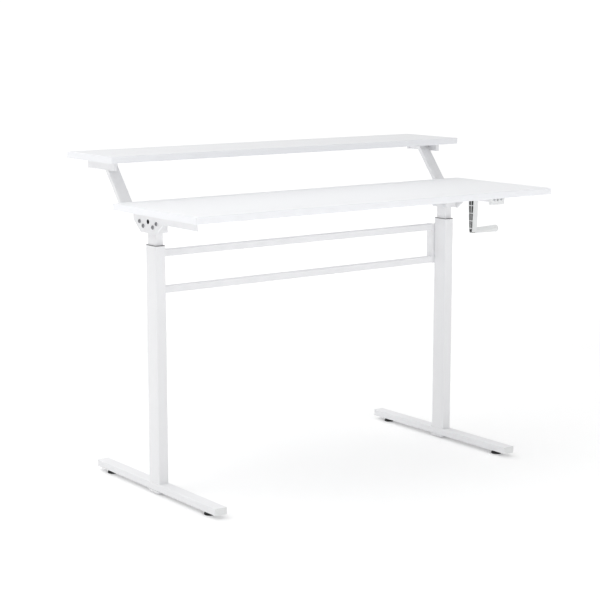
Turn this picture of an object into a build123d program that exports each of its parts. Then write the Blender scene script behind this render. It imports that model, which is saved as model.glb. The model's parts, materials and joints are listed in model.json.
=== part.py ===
"""Two-tier sit-stand desk, raised and lowered by a hand crank.

Millimetres, +X to the sitter's right, +Y to the back, +Z up. Positions are written from the middle of
the desktop, at floor level, and save() moves every piece so that the frame's origin lies under the
middle of the whole object's box, on the floor.
"""
from build123d import *
from math import cos, pi, radians, sin, tan
import os

# ---- boards ----
BOARD_T = 18.0            # thickness of both boards
BOARD_EDGE_R = 1.0        # rounding of the boards' edges
DESK_W = 1200.0
DESK_D = 395.0
DESK_TOP = 780.0          # height of the working surface in the modelled position
SHELF_W = 1200.0
SHELF_D = 236.0
SHELF_RISE = 119.5        # shelf surface above the working surface
SHELF_GAP = 1.5           # shelf's front edge behind the desktop's rear edge, seen from above

# ---- travel ----
TRAVEL_UP = 380.0
TRAVEL_DOWN = 32.0
LEAD = 8.0                # rise of the desktop for each turn of the crank

# ---- legs and feet ----
LEG_X = 502.5             # half the distance between the two legs
LEG_Y = 147.0             # legs' centre line, behind the middle of the desktop
LEG_W = 30.0              # outer tube, across (X)
LEG_D = 50.0              # outer tube, front to back (Y)
LEG_WALL = 1.5
LEG_TOP = 669.0           # top of the outer leg with its collar
INNER_W = 24.0            # inner tube, across
INNER_D = 38.0
INNER_WALL = 1.5
INNER_L = 628.0
SLIDE_GAP = 0.2           # play between sliding faces, each side
FOOT_L = 596.0
FOOT_W = 36.0
FOOT_H = 19.0
FOOT_WALL = 2.0
FOOT_FRONT = -151.0       # front end of the feet
FOOT_Z = 10.0             # foot's underside above the floor
CAP_T = 3.0               # flange of the end caps
CAP_PLUG = 14.0           # how far an end cap goes into the foot
GLIDE_D = 30.0
GLIDE_H = 7.5             # thickness of a glide's pad
GLIDE_INSET = 54.0        # glide's centre from the end of the foot
GLIDE_STUD_D = 8.0
GLIDE_STUD_TOP = 24.0
INSERT_D = 12.0
RUN_GAP = 0.05            # radial play of a turning fit
COLLAR_L = 40.0
COLLAR_FLANGE = 1.5
BOTTOM_BLOCK_H = 8.0      # tapped block in the foot of each leg
UNDER_PLATE_T = 5.0
UNDER_PLATE_L = 50.0
FOOT_BOLT_D = 8.0
FOOT_BOLT_PITCH = 26.0

# ---- screw drive ----
SPINDLE_D = 12.0
SPINDLE_BOTTOM = 100.0
NUT_Z = 520.0             # underside of the fixed nut
NUT_H = 25.0
NUT_W = 19.0
NUT_D = 33.0
NUT_TUBE_GAP = 1.0        # room round the spindle in the nut's tube
NUT_TUBE_WALL = 2.0
CASE_W = 38.0             # gearbox case, across
CASE_D = 66.0
CASE_WALL = 2.0
CASE_FLOOR = 10.0
CASE_BOTTOM = 703.0
SPIGOT_L = 8.0
BEARING_D = 28.0
BEARING_H = 8.0
LID_T = 2.0
AXIS_Z = 731.0            # height of the cross rod and crank axis
HEX_AF = 8.0              # hexagon across flats
HEX_GAP = 0.1             # play of a hexagon in its socket, each side
SLEEVE_D = 12.0
GEAR_TEETH = 16
GEAR_R = 12.0             # pitch radius at the large end; both gears of a pair are equal
GEAR_FACE = 3.5           # axial length of the teeth
GEAR_HUB_D = 18.0
BUSH_D = 16.0
BUSH_FLANGE_D = 20.0
BUSH_FLANGE_T = 2.0
ROD_CLIP_D = 16.0
ROD_CLIP_L = 8.0

# ---- side brackets under the desktop ----
SHEET = 3.0               # sheet of the brackets and angles
BRACKET_REAR = 73.0       # bracket's rear end behind the legs' centre line
BRACKET_NOSE = 37.0       # half length of the bracket's lowest edge
BRACKET_LOW = 701.0       # height of the bracket's lowest edge
RAIL_LOW = 729.0          # height of the forward rail's lower edge
RAIL_FRONT = -86.0        # rail's front end
RAIL_FLANGE = 52.5        # width of the bracket's top flange
BOLT_D = 6.0
BOLT_HEAD_D = 11.0
BOLT_HEAD_H = 3.0
BOLT_UPPER = (41.0, -2.0)   # bracket bolts from the crank axis: half spacing, height
BOLT_LOWER = (23.6, -12.7)
BOSS_D = 14.0
BOSS_L = 10.0
CASE_SCREW_Y = 20.0       # case screws each side of the legs' centre line
CASE_SCREW_Z = 708.0
CASE_SCREW_D = 4.0

# ---- shelf arms ----
ARM_X = 528.5             # arm's inner face
ARM_W = 35.0
ARM_T = 13.0              # arm's thickness, square to its slope
ARM_WALL = 2.0
ARM_LEAN = 38.5           # degrees from vertical, leaning back
ARM_GAP = 6.0             # arm's front face behind the desktop's rear edge, at its underside
ARM_PLATE_T = 4.0
ARM_PLATE_L = 100.0
SHELF_BRACKET_FRONT = 246.0
SHELF_BRACKET_L = 136.0
SHELF_BRACKET_H = 23.5
SHELF_BRACKET_W = 38.0
SHELF_TAB = 10.0          # folded ends of the shelf brackets

# ---- crossbars ----
CROSS_H = 19.0            # square tube of the crossbars
CROSS_WALL = 1.5
CROSS_UPPER_Z = 640.5     # centre heights
CROSS_LOWER_Z = 542.5
CROSS_END_GAP = 7.5       # crossbar's end short of the leg's inner face
ANGLE_DEPTH = 25.0
ANGLE_W = 34.0
ANGLE_MARGIN = 0.5        # angle's ends above and below the crossbars
CROSS_BOLT_D = 6.0
CROSS_BOLT_HEAD_D = 10.0
CROSS_BOLT_HEAD_H = 4.0

# ---- crank ----
CRANK_X = 611.5           # crank arm's inner face
CRANK_T = 18.5
CRANK_RADIUS = 109.0
CRANK_TOP_R = 13.0
CRANK_TIP_R = 8.0
CRANK_WALL = 2.4
CRANK_POCKET = 13.0       # depth of the moulded pockets
CRANK_ROWS = 4
CRANK_PITCH = 23.0
CRANK_SHAFT_IN = 14.0     # how far the crank's shaft goes into the arm
GRIP_L = 88.0
GRIP_D_IN = 17.0
GRIP_D_OUT = 23.0
GRIP_GAP = 0.5            # between arm and grip
GRIP_PIN_D = 8.0
GRIP_FLUTES = 8

# ---- crank storage block ----
PARK_D = 10.0             # block, front to back
PARK_HOLE_AF = 9.0
PARK_SCREW_PITCH = 13.5
PARK_SCREW_D = 4.0
PARK_SCREW_HEAD_D = 8.0

# ---- wood screws ----
SCREW_D = 4.5
SCREW_L = 14.0
SCREW_HEAD_D = 9.0
SCREW_HEAD_H = 2.5
PILOT_GAP = 0.02          # radial play of a screw in its pilot hole

# ---- worked out from the sizes above ----
DESK_UNDER = DESK_TOP - BOARD_T
SHELF_TOP = DESK_TOP + SHELF_RISE
SHELF_UNDER = SHELF_TOP - BOARD_T
DESK_REAR = DESK_D / 2
SHELF_FRONT = DESK_REAR + SHELF_GAP
SHELF_REAR = SHELF_FRONT + SHELF_D
FOOT_REAR = FOOT_FRONT + FOOT_L
FOOT_TOP = FOOT_Z + FOOT_H
LEG_REAR = LEG_Y + LEG_D / 2
TUBE_TOP = LEG_TOP - COLLAR_FLANGE
BLOCK_TOP = FOOT_TOP + BOTTOM_BLOCK_H
INNER_BOTTOM = CASE_BOTTOM - INNER_L
CASE_TOP = DESK_UNDER - SHEET
CASE_HALF = CASE_W / 2
PLATE_OUT = CASE_HALF + SHEET                 # bracket plate's outer face from the leg's centre
CAVITY_Z = CASE_BOTTOM + CASE_FLOOR
GEAR_Z = AXIS_Z - GEAR_R                      # large end of the spindle's gear
CROSS_Y = LEG_REAR + 0.5                      # crossbars' front face
CROSS_HALF = LEG_X - LEG_W / 2 - CROSS_END_GAP
ARM_SLOPE = tan(radians(ARM_LEAN))
ARM_DEPTH = ARM_T / cos(radians(ARM_LEAN))    # arm's horizontal front-to-back size
ARM_FOOT_Y = DESK_REAR + ARM_GAP
ARM_TOP_Z = SHELF_UNDER - SHEET
GRIP_Z = AXIS_Z - CRANK_RADIUS
ARM_OUT_X = CRANK_X + CRANK_T
GRIP_END = ARM_OUT_X + GRIP_GAP + GRIP_L
REAR_END = max(FOOT_REAR, SHELF_REAR)
ORIGIN = Vector((GRIP_END - DESK_W / 2) / 2, (REAR_END - DESK_D / 2) / 2, 0)

PARK_X1 = LEG_X + CASE_HALF - 0.5             # block fills the rail's open front end
PARK_X0 = LEG_X + PLATE_OUT - RAIL_FLANGE
PARK_MID = (PARK_X0 + LEG_X + PLATE_OUT) / 2
PARK_Z = (RAIL_LOW + DESK_UNDER - SHEET) / 2

CASE_FRONT = LEG_Y - CASE_D / 2
BRACKET_SCREW_Y = (-50.0, 30.0, CASE_FRONT - 16.0, CASE_FRONT + CASE_D + 8.5)
NUT_TUBE_BORE = SPINDLE_D + 2 * NUT_TUBE_GAP
NUT_TUBE_D = NUT_TUBE_BORE + 2 * NUT_TUBE_WALL
ARM_SCREW_Y = (ARM_FOOT_Y - 68.0, ARM_FOOT_Y - 24.0)
SHELF_SCREW_Y = (SHELF_BRACKET_FRONT + 20.0, SHELF_BRACKET_FRONT + SHELF_BRACKET_L - 20.0)


def box(x0, x1, y0, y1, z0, z1):
    """A block given by its limits, in any order."""
    size = (abs(x1 - x0), abs(y1 - y0), abs(z1 - z0))
    return Pos((x0 + x1) / 2, (y0 + y1) / 2, (z0 + z1) / 2) * Box(*size)


def rod_z(x, y, z0, z1, d):
    return Pos(x, y, (z0 + z1) / 2) * Cylinder(d / 2, z1 - z0)


def rod_x(y, z, x0, x1, d):
    return Pos((x0 + x1) / 2, y, z) * Rot(0, 90, 0) * Cylinder(d / 2, abs(x1 - x0))


def rod_y(x, z, y0, y1, d):
    return Pos(x, (y0 + y1) / 2, z) * Rot(90, 0, 0) * Cylinder(d / 2, abs(y1 - y0))


def hex_x(y, z, x0, x1, af):
    """A hexagonal bar along X, standing on a flat."""
    profile = RegularPolygon(af / 2, 6, major_radius=False, rotation=30)
    return extrude(Plane(origin=(min(x0, x1), y, z), z_dir=(1, 0, 0)) * profile, abs(x1 - x0))


def joined(parts):
    """Separate solids kept together in one node."""
    return Compound(children=list(parts))


def save(name, shape):
    export_step(Pos(-ORIGIN.X, -ORIGIN.Y, 0) * shape, f"parts/{name}.step")


def sides():
    """The two legs: name, and the sign of X."""
    return (("left", -1), ("right", 1))


def foot_ends():
    """Glide centres along a foot."""
    return (("front", FOOT_FRONT + GLIDE_INSET), ("rear", FOOT_REAR - GLIDE_INSET))


def foot_bolt_places(s):
    return [(s * LEG_X, LEG_Y + e * FOOT_BOLT_PITCH / 2) for e in (-1, 1)]


def bracket_bolt_places():
    """(Y, Z) of the four bolts that hold a side bracket to its gearbox."""
    return [(LEG_Y + e * y, AXIS_Z + z) for y, z in (BOLT_UPPER, BOLT_LOWER) for e in (-1, 1)]


def bracket_screw_places(s):
    return [(s * (LEG_X - 8), y) for y in BRACKET_SCREW_Y]


def arm_screw_places(s):
    return [(s * (ARM_X + ARM_W / 2), y) for y in ARM_SCREW_Y]


def shelf_screw_places(s):
    return [(s * (ARM_X + ARM_W / 2), y) for y in SHELF_SCREW_Y]


def park_screw_places():
    return (PARK_MID - PARK_SCREW_PITCH, PARK_MID + PARK_SCREW_PITCH)


def cross_bolt_heights():
    """Heights of the bolts that hold a crossbar angle to the back of its leg."""
    mid = (CROSS_UPPER_Z + CROSS_LOWER_Z) / 2
    return (mid - 30, mid + 30)


def screw_up(x, y, face):
    """A pan-head wood screw driven up through sheet into a board; its head bears on the face below."""
    head = fillet(rod_z(x, y, face - SCREW_HEAD_H, face, SCREW_HEAD_D).edges().sort_by(Axis.Z)[0], 1)
    return head + rod_z(x, y, face, face + SCREW_L, SCREW_D)


# ---------------------------------------------------------------- boards
def board(width, y0, y1, top, holes):
    """A board with rounded edges and blind pilot holes from below: (x, y, depth)."""
    plank = box(-width / 2, width / 2, y0, y1, top - BOARD_T, top)
    plank = fillet(plank.edges(), BOARD_EDGE_R)
    for x, y, depth in holes:
        plank -= rod_z(x, y, top - BOARD_T - 1, top - BOARD_T + depth + 1, SCREW_D + 2 * PILOT_GAP)
    return plank


def desktop():
    holes = []
    for _, s in sides():
        holes += [(x, y, SCREW_L - SHEET) for x, y in bracket_screw_places(s)]
        holes += [(x, y, SCREW_L - ARM_PLATE_T) for x, y in arm_screw_places(s)]
    return board(DESK_W, -DESK_D / 2, DESK_REAR, DESK_TOP, holes)


def shelf():
    holes = [(x, y, SCREW_L - SHEET) for _, s in sides() for x, y in shelf_screw_places(s)]
    return board(SHELF_W, SHELF_FRONT, SHELF_REAR, SHELF_TOP, holes)


def desktop_screws():
    out = []
    for _, s in sides():
        out += [screw_up(x, y, DESK_UNDER - SHEET) for x, y in bracket_screw_places(s)]
        out += [screw_up(x, y, DESK_UNDER - ARM_PLATE_T) for x, y in arm_screw_places(s)]
    return joined(out)


def shelf_screws():
    places = [place for _, s in sides() for place in shelf_screw_places(s)]
    return joined(screw_up(x, y, SHELF_UNDER - SHEET) for x, y in places)


# ---------------------------------------------------------------- feet
def foot(s):
    x0, x1 = s * LEG_X - FOOT_W / 2, s * LEG_X + FOOT_W / 2
    y0, y1 = FOOT_FRONT + CAP_T, FOOT_REAR - CAP_T
    tube = fillet(box(x0, x1, y0, y1, FOOT_Z, FOOT_TOP).edges().filter_by(Axis.Y), 2.5)
    w = FOOT_WALL
    tube -= box(x0 + w, x1 - w, y0 - 1, y1 + 1, FOOT_Z + w, FOOT_TOP - w)
    for x, y in foot_bolt_places(s):
        tube -= rod_z(x, y, FOOT_Z - 1, FOOT_TOP + 1, FOOT_BOLT_D + 0.4)
    for _, y in foot_ends():
        tube -= rod_z(s * LEG_X, y, FOOT_Z - 1, FOOT_Z + w + 1, INSERT_D)
    return tube


def foot_end_caps():
    """Four plugs: a flange with rounded upright corners and a block inside the tube."""
    out = []
    for _, s in sides():
        for end, e in ((FOOT_FRONT, 1), (FOOT_REAR, -1)):
            x0, x1 = s * LEG_X - FOOT_W / 2, s * LEG_X + FOOT_W / 2
            flange = box(x0, x1, end, end + e * CAP_T, FOOT_Z, FOOT_TOP)
            outer = flange.edges().filter_by(Axis.Z).sort_by(Axis.Y)
            flange = fillet(outer[:2] if e > 0 else outer[-2:], CAP_T - 0.2)
            w = FOOT_WALL
            plug = box(x0 + w, x1 - w, end + e * CAP_T, end + e * (CAP_T + CAP_PLUG),
                       FOOT_Z + w, FOOT_TOP - w)
            out.append(flange + plug)
    return joined(out)


def foot_inserts():
    """Threaded inserts for the glides, pressed into the feet from below."""
    out = []
    for _, s in sides():
        for _, y in foot_ends():
            ring = rod_z(s * LEG_X, y, FOOT_Z, FOOT_TOP - FOOT_WALL - 2, INSERT_D)
            out.append(ring - rod_z(s * LEG_X, y, 0, FOOT_TOP, GLIDE_STUD_D + 2 * RUN_GAP))
    return joined(out)


def glide(s, y):
    """A levelling glide: domed pad and stud, moulded in one piece."""
    x = s * LEG_X
    pad = rod_z(x, y, 0, GLIDE_H, GLIDE_D)
    pad = fillet(pad.edges().sort_by(Axis.Z)[-1], 4)
    pad = chamfer(pad.edges().sort_by(Axis.Z)[0], 0.8)
    neck = rod_z(x, y, GLIDE_H - 0.5, FOOT_Z - 0.5, GLIDE_STUD_D + 5)
    top = min(GLIDE_STUD_TOP, FOOT_TOP - FOOT_WALL - 1)
    return pad + neck + rod_z(x, y, GLIDE_H - 0.5, top, GLIDE_STUD_D)


def under_foot_plates():
    out = []
    for _, s in sides():
        x, w, half = s * LEG_X, FOOT_W / 2, UNDER_PLATE_L / 2
        plate = box(x - w, x + w, LEG_Y - half, LEG_Y + half, FOOT_Z - UNDER_PLATE_T, FOOT_Z)
        plate = fillet(plate.edges().filter_by(Axis.Z), 2)
        for bx, by in foot_bolt_places(s):
            plate -= rod_z(bx, by, 0, FOOT_Z + 1, FOOT_BOLT_D + 0.4)
        out.append(plate)
    return joined(out)


def foot_bolts():
    """Button-head bolts up through plate and foot into the leg's tapped block."""
    out = []
    for _, s in sides():
        for x, y in foot_bolt_places(s):
            low = FOOT_Z - UNDER_PLATE_T
            head = rod_z(x, y, low - 3.5, low, 14)
            head = fillet(head.edges().sort_by(Axis.Z)[0], 2)
            head -= Pos(x, y, low - 3.5) * extrude(RegularPolygon(2.5, 6, major_radius=False), 2)
            out.append(head + rod_z(x, y, low, BLOCK_TOP, FOOT_BOLT_D))
    return joined(out)


# ---------------------------------------------------------------- legs
def leg_tube(s):
    x, w, d = s * LEG_X, LEG_W / 2, LEG_D / 2
    tube = fillet(box(x - w, x + w, LEG_Y - d, LEG_Y + d, FOOT_TOP, TUBE_TOP).edges().filter_by(Axis.Z), 3)
    w, d = w - LEG_WALL, d - LEG_WALL
    bore = box(x - w, x + w, LEG_Y - d, LEG_Y + d, FOOT_TOP - 1, TUBE_TOP + 1)
    tube -= fillet(bore.edges().filter_by(Axis.Z), 1.5)
    for z in cross_bolt_heights():
        tube -= rod_y(x, z, LEG_REAR - LEG_WALL - 2, LEG_REAR + 1, CROSS_BOLT_D)
    return tube


def leg_blocks():
    """Tapped blocks welded into the foot of each leg."""
    out = []
    for _, s in sides():
        x, w, d = s * LEG_X, LEG_W / 2 - LEG_WALL, LEG_D / 2 - LEG_WALL
        block = box(x - w, x + w, LEG_Y - d, LEG_Y + d, FOOT_TOP, BLOCK_TOP)
        block = fillet(block.edges().filter_by(Axis.Z), 1.5)
        for bx, by in foot_bolt_places(s):
            block -= rod_z(bx, by, 0, LEG_TOP, FOOT_BOLT_D)
        out.append(block)
    return joined(out)


def guide_collar(s):
    """Nylon collar in the mouth of the outer tube, with a thin flange on its top."""
    x, w, d = s * LEG_X, LEG_W / 2, LEG_D / 2
    flange = box(x - w, x + w, LEG_Y - d, LEG_Y + d, TUBE_TOP, LEG_TOP)
    flange = fillet(flange.edges().filter_by(Axis.Z), 3)
    w, d = w - LEG_WALL, d - LEG_WALL
    body = box(x - w, x + w, LEG_Y - d, LEG_Y + d, TUBE_TOP - COLLAR_L, TUBE_TOP)
    body = fillet(body.edges().filter_by(Axis.Z), 1.5)
    w, d = INNER_W / 2 + SLIDE_GAP, INNER_D / 2 + SLIDE_GAP
    mouth = box(x - w, x + w, LEG_Y - d, LEG_Y + d, 0, LEG_TOP + 1)
    return flange + body - fillet(mouth.edges().filter_by(Axis.Z), 1.8)


def inner_tube(s):
    x, w, d = s * LEG_X, INNER_W / 2, INNER_D / 2
    tube = box(x - w, x + w, LEG_Y - d, LEG_Y + d, INNER_BOTTOM, CASE_BOTTOM)
    tube = fillet(tube.edges().filter_by(Axis.Z), 2)
    w, d = w - INNER_WALL, d - INNER_WALL
    return tube - box(x - w, x + w, LEG_Y - d, LEG_Y + d, INNER_BOTTOM - 1, CASE_BOTTOM + 1)


def inner_tube_pads():
    """Nylon shoes round the lower end of each inner tube, which run in the outer tube."""
    out = []
    for _, s in sides():
        x = s * LEG_X
        w, d = LEG_W / 2 - LEG_WALL - SLIDE_GAP, LEG_D / 2 - LEG_WALL - SLIDE_GAP
        shoe = box(x - w, x + w, LEG_Y - d, LEG_Y + d, INNER_BOTTOM, INNER_BOTTOM + 40)
        shoe = fillet(shoe.edges().filter_by(Axis.Z), 1.8)
        w, d = INNER_W / 2, INNER_D / 2
        core = box(x - w, x + w, LEG_Y - d, LEG_Y + d, 0, LEG_TOP)
        out.append(shoe - fillet(core.edges().filter_by(Axis.Z), 2))
    return joined(out)


def nut_tube(s):
    """Post on the leg's bottom block that carries the fixed nut."""
    post = rod_z(s * LEG_X, LEG_Y, BLOCK_TOP, NUT_Z, NUT_TUBE_D)
    return post - rod_z(s * LEG_X, LEG_Y, 0, LEG_TOP, NUT_TUBE_BORE)


def spindle_nuts():
    out = []
    for _, s in sides():
        x, w, d = s * LEG_X, NUT_W / 2, NUT_D / 2
        nut = box(x - w, x + w, LEG_Y - d, LEG_Y + d, NUT_Z, NUT_Z + NUT_H)
        nut = fillet(nut.edges().filter_by(Axis.Z), 2)
        out.append(nut - rod_z(x, LEG_Y, 0, LEG_TOP, SPINDLE_D + 2 * RUN_GAP))
    return joined(out)


# ---------------------------------------------------------------- screw drive
def spindle(s):
    top = GEAR_Z + GEAR_FACE
    bar = rod_z(s * LEG_X, LEG_Y, SPINDLE_BOTTOM, top, SPINDLE_D)
    return chamfer(bar.edges().sort_by(Axis.Z)[0], 1)


def bevel_gear(bore, hub_back, phase):
    """A mitre gear on +Z with its cones' apex at the origin: large end at -GEAR_R, teeth towards the apex.

    The teeth are straight-sided and narrower than their gaps, so that a pair runs with backlash.
    """
    pitch = 360 / GEAR_TEETH
    tip, root = 1.15, 0.80                    # radius over distance from the apex
    small = GEAR_R - GEAR_FACE
    blank = Pos(0, 0, -(GEAR_R + small) / 2) * Cone(GEAR_R * root, small * root, GEAR_FACE)
    back = hub_back - GEAR_R
    blank += Pos(0, 0, -GEAR_R - back / 2) * Cylinder(GEAR_HUB_D / 2, back)

    def section(far):
        """A tooth's outline at one end: wide at its root, narrow at its tip."""
        def at(share, r):
            half = radians(pitch * share / 2)
            return [(far * r * cos(half), -far * r * sin(half)), (far * r * cos(half), far * r * sin(half))]
        low, high = at(0.46, root - 0.04), at(0.22, tip)
        return Pos(0, 0, -far) * make_face(Polyline(low[0], high[0], high[1], low[1], close=True))

    tooth = loft([section(GEAR_R), section(small)])
    for i in range(GEAR_TEETH):
        blank += Rot(0, 0, phase + i * pitch) * tooth
    return blank - bore


def spindle_gear(s):
    """Gear on the top of a spindle, a tooth pointing at the pinion on +X."""
    bore = Pos(0, 0, -GEAR_R) * Cylinder(SPINDLE_D / 2, 4 * GEAR_R)
    gear = bevel_gear(bore, AXIS_Z - CAVITY_Z - 0.5, 0)
    return Pos(s * LEG_X, LEG_Y, AXIS_Z) * gear


def pinion(s):
    """Bevel pinion and its sleeve, hexagonal right through; it turns in the bushes of the case."""
    none = Pos(0, 0, 0) * Cylinder(SLEEVE_D / 2 - 1, 4 * GEAR_R)
    gear = bevel_gear(none, CASE_HALF - CASE_WALL - BUSH_FLANGE_T - 0.5, 180 / GEAR_TEETH)
    gear = Pos(s * LEG_X, LEG_Y, AXIS_Z) * Rot(0, -90, 0) * gear
    inner, outer = s * (LEG_X - CASE_HALF - 1), s * (LEG_X + PLATE_OUT)
    sleeve = rod_x(LEG_Y, AXIS_Z, inner, outer, SLEEVE_D)
    return gear + sleeve - hex_x(LEG_Y, AXIS_Z, inner - s, outer + s, HEX_AF + 2 * HEX_GAP)


def spindle_bearings():
    out = []
    for _, s in sides():
        ring = rod_z(s * LEG_X, LEG_Y, CAVITY_Z - BEARING_H, CAVITY_Z, BEARING_D)
        out.append(ring - rod_z(s * LEG_X, LEG_Y, 0, DESK_TOP, SPINDLE_D + 2 * RUN_GAP))
    return joined(out)


def rod_bushes():
    """Flanged bushes in the two side walls of each case."""
    out = []
    for _, s in sides():
        for e in (-1, 1):
            wall = s * LEG_X + e * (CASE_HALF - CASE_WALL)
            bush = rod_x(LEG_Y, AXIS_Z, wall, wall + e * CASE_WALL, BUSH_D)
            bush += rod_x(LEG_Y, AXIS_Z, wall - e * BUSH_FLANGE_T, wall, BUSH_FLANGE_D)
            bore = rod_x(LEG_Y, AXIS_Z, wall - 9, wall + 9, SLEEVE_D + 2 * RUN_GAP)
            out.append(bush - bore)
    return joined(out)


def gearbox_case(s):
    """Cast case on top of the inner tube: floor with the bearing's seat, bosses for the bracket."""
    x, w, d = s * LEG_X, CASE_HALF, CASE_D / 2
    case = box(x - w, x + w, LEG_Y - d, LEG_Y + d, CASE_BOTTOM, CASE_TOP)
    case = fillet(case.edges().filter_by(Axis.Z), 3)
    iw, idp = w - CASE_WALL, d - CASE_WALL
    case -= box(x - iw, x + iw, LEG_Y - idp, LEG_Y + idp, CAVITY_Z, CASE_TOP + 1)
    sw, sd = INNER_W / 2 - INNER_WALL, INNER_D / 2 - INNER_WALL
    case += box(x - sw, x + sw, LEG_Y - sd, LEG_Y + sd, CASE_BOTTOM - SPIGOT_L, CASE_BOTTOM)
    face = x + s * w
    for y, z in bracket_bolt_places():
        case += rod_x(y, z, face - s * BOSS_L, face, BOSS_D)
        if abs(y - LEG_Y) > d:
            e = 1 if y > LEG_Y else -1
            case += box(face - s * BOSS_L, face, LEG_Y + e * (d - 1), y, z - 5, z + 5)
        case -= rod_x(y, z, face - s * (BOSS_L + 1), face + s, BOLT_D)
    case -= rod_z(x, LEG_Y, CAVITY_Z - BEARING_H, CAVITY_Z + 1, BEARING_D)
    case -= rod_z(x, LEG_Y, 0, CAVITY_Z, SPINDLE_D + 2)
    case -= rod_x(LEG_Y, AXIS_Z, x - w - 1, x + w + 1, BUSH_D)
    inner = x - s * w
    for y in (LEG_Y - CASE_SCREW_Y, LEG_Y + CASE_SCREW_Y):
        case -= rod_x(y, CASE_SCREW_Z, inner - s, inner + s * 12, CASE_SCREW_D)
    return case


def gearbox_lids():
    w, d = CASE_HALF - CASE_WALL, CASE_D / 2 - CASE_WALL
    return joined(box(s * LEG_X - w, s * LEG_X + w, LEG_Y - d, LEG_Y + d, CASE_TOP - LID_T, CASE_TOP)
                  for _, s in sides())


def case_screws():
    """Set screws with pan heads in the inner side of each case, which lock the bearing's seat."""
    out = []
    for _, s in sides():
        inner = s * (LEG_X - CASE_HALF)
        for y in (LEG_Y - CASE_SCREW_Y, LEG_Y + CASE_SCREW_Y):
            screw = rod_x(y, CASE_SCREW_Z, inner, inner + s * 12, CASE_SCREW_D)
            out.append(screw + rod_x(y, CASE_SCREW_Z, inner - s * 2.5, inner, 2 * CASE_SCREW_D))
    return joined(out)


def cross_rod():
    """Hexagonal rod that turns both pinions; it stops short in each sleeve, which leaves a socket."""
    return hex_x(LEG_Y, AXIS_Z, -LEG_X - 2, LEG_X - 2, HEX_AF)


def rod_clips():
    """Collars on the rod, just inside each case, which keep it from sliding out."""
    out = []
    for _, s in sides():
        near = s * (LEG_X - CASE_HALF - 3)
        far = near - s * ROD_CLIP_L
        out.append(rod_x(LEG_Y, AXIS_Z, near, far, ROD_CLIP_D) - hex_x(LEG_Y, AXIS_Z, near, far, HEX_AF))
    return joined(out)


# ---------------------------------------------------------------- side brackets
def side_bracket(s):
    """Folded sheet: an upright plate beside the gearbox, running forward as a rail, and a top flange."""
    rear = LEG_Y + BRACKET_REAR
    shoulder = RAIL_LOW + 2
    chamfer_run = BRACKET_REAR - BRACKET_NOSE
    outline = [(rear, DESK_UNDER), (rear, shoulder), (LEG_Y + BRACKET_NOSE, BRACKET_LOW),
               (LEG_Y - BRACKET_NOSE, BRACKET_LOW), (LEG_Y - BRACKET_NOSE - chamfer_run, RAIL_LOW),
               (RAIL_FRONT, RAIL_LOW), (RAIL_FRONT, DESK_UNDER)]
    inside = s * (LEG_X + CASE_HALF)
    outside = s * (LEG_X + PLATE_OUT)
    wire = Polyline(*[(min(inside, outside), y, z) for y, z in outline], close=True)
    plate = extrude(make_face(wire), SHEET, dir=(1, 0, 0))
    for y, z in bracket_bolt_places():
        plate -= rod_x(y, z, inside - s, outside + s, BOLT_D + 0.4)
    plate -= rod_x(LEG_Y, AXIS_Z, inside - s, outside + s, SLEEVE_D + 0.8)
    flange = box(outside, outside - s * RAIL_FLANGE, RAIL_FRONT, rear, DESK_UNDER - SHEET, DESK_UNDER)
    for x, y in bracket_screw_places(s):
        flange -= rod_z(x, y, 0, DESK_TOP, SCREW_D + 2 * PILOT_GAP)
    if s > 0:
        tab = RAIL_FRONT + PARK_D
        flange += box(PARK_X0 + 3, inside, tab, tab + SHEET, RAIL_LOW + 2, DESK_UNDER - SHEET)
        flange -= rod_y(PARK_MID, PARK_Z, tab - 1, tab + SHEET + 1, PARK_HOLE_AF * 1.3)
        for x in park_screw_places():
            flange -= rod_y(x, PARK_Z, tab - 1, tab + SHEET + 1, PARK_SCREW_D + 2 * PILOT_GAP)
    return plate + flange


def bracket_bolts():
    """Button-head bolts through the bracket plates into the gearbox bosses."""
    out = []
    for _, s in sides():
        face = s * (LEG_X + PLATE_OUT)
        for y, z in bracket_bolt_places():
            head = rod_x(y, z, face, face + s * BOLT_HEAD_H, BOLT_HEAD_D)
            rim = head.edges().filter_by(GeomType.CIRCLE).sort_by(Axis.X)
            head = fillet(rim[-1] if s > 0 else rim[0], 2)
            head -= hex_x(y, z, face + s * 1.2, face + s * 4, 4)
            out.append(head + rod_x(y, z, face - s * (SHEET + BOSS_L - 1), face, BOLT_D))
    return joined(out)


# ---------------------------------------------------------------- crossbars
def crossbar(z):
    """Square tube across the back of the legs, closed at its ends by the angles."""
    h, y0, y1 = CROSS_H / 2, CROSS_Y, CROSS_Y + CROSS_H
    tube = box(-CROSS_HALF, CROSS_HALF, y0, y1, z - h, z + h)
    tube = fillet(tube.edges().filter_by(Axis.X), 2)
    w = CROSS_WALL
    return tube - box(-CROSS_HALF - 1, CROSS_HALF + 1, y0 + w, y1 - w, z - h + w, z + h - w)


def crossbar_angle(s):
    """Upright angle: one leg closes the crossbars' ends, the other is bolted to the back of the leg."""
    z0 = CROSS_LOWER_Z - CROSS_H / 2 - ANGLE_MARGIN
    z1 = CROSS_UPPER_Z + CROSS_H / 2 + ANGLE_MARGIN
    near = s * CROSS_HALF
    web = box(near, near + s * SHEET, LEG_REAR, LEG_REAR + ANGLE_DEPTH, z0, z1)
    web += box(near, near + s * ANGLE_W, LEG_REAR, LEG_REAR + SHEET, z0, z1)
    for z in cross_bolt_heights():
        web -= rod_y(s * LEG_X, z, LEG_REAR - 1, LEG_REAR + SHEET + 1, CROSS_BOLT_D)
    for z in (CROSS_LOWER_Z, CROSS_UPPER_Z):
        web -= rod_x(CROSS_Y + CROSS_H / 2, z, near - s, near + s * (SHEET + 1), CROSS_BOLT_D)
    return web


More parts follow.
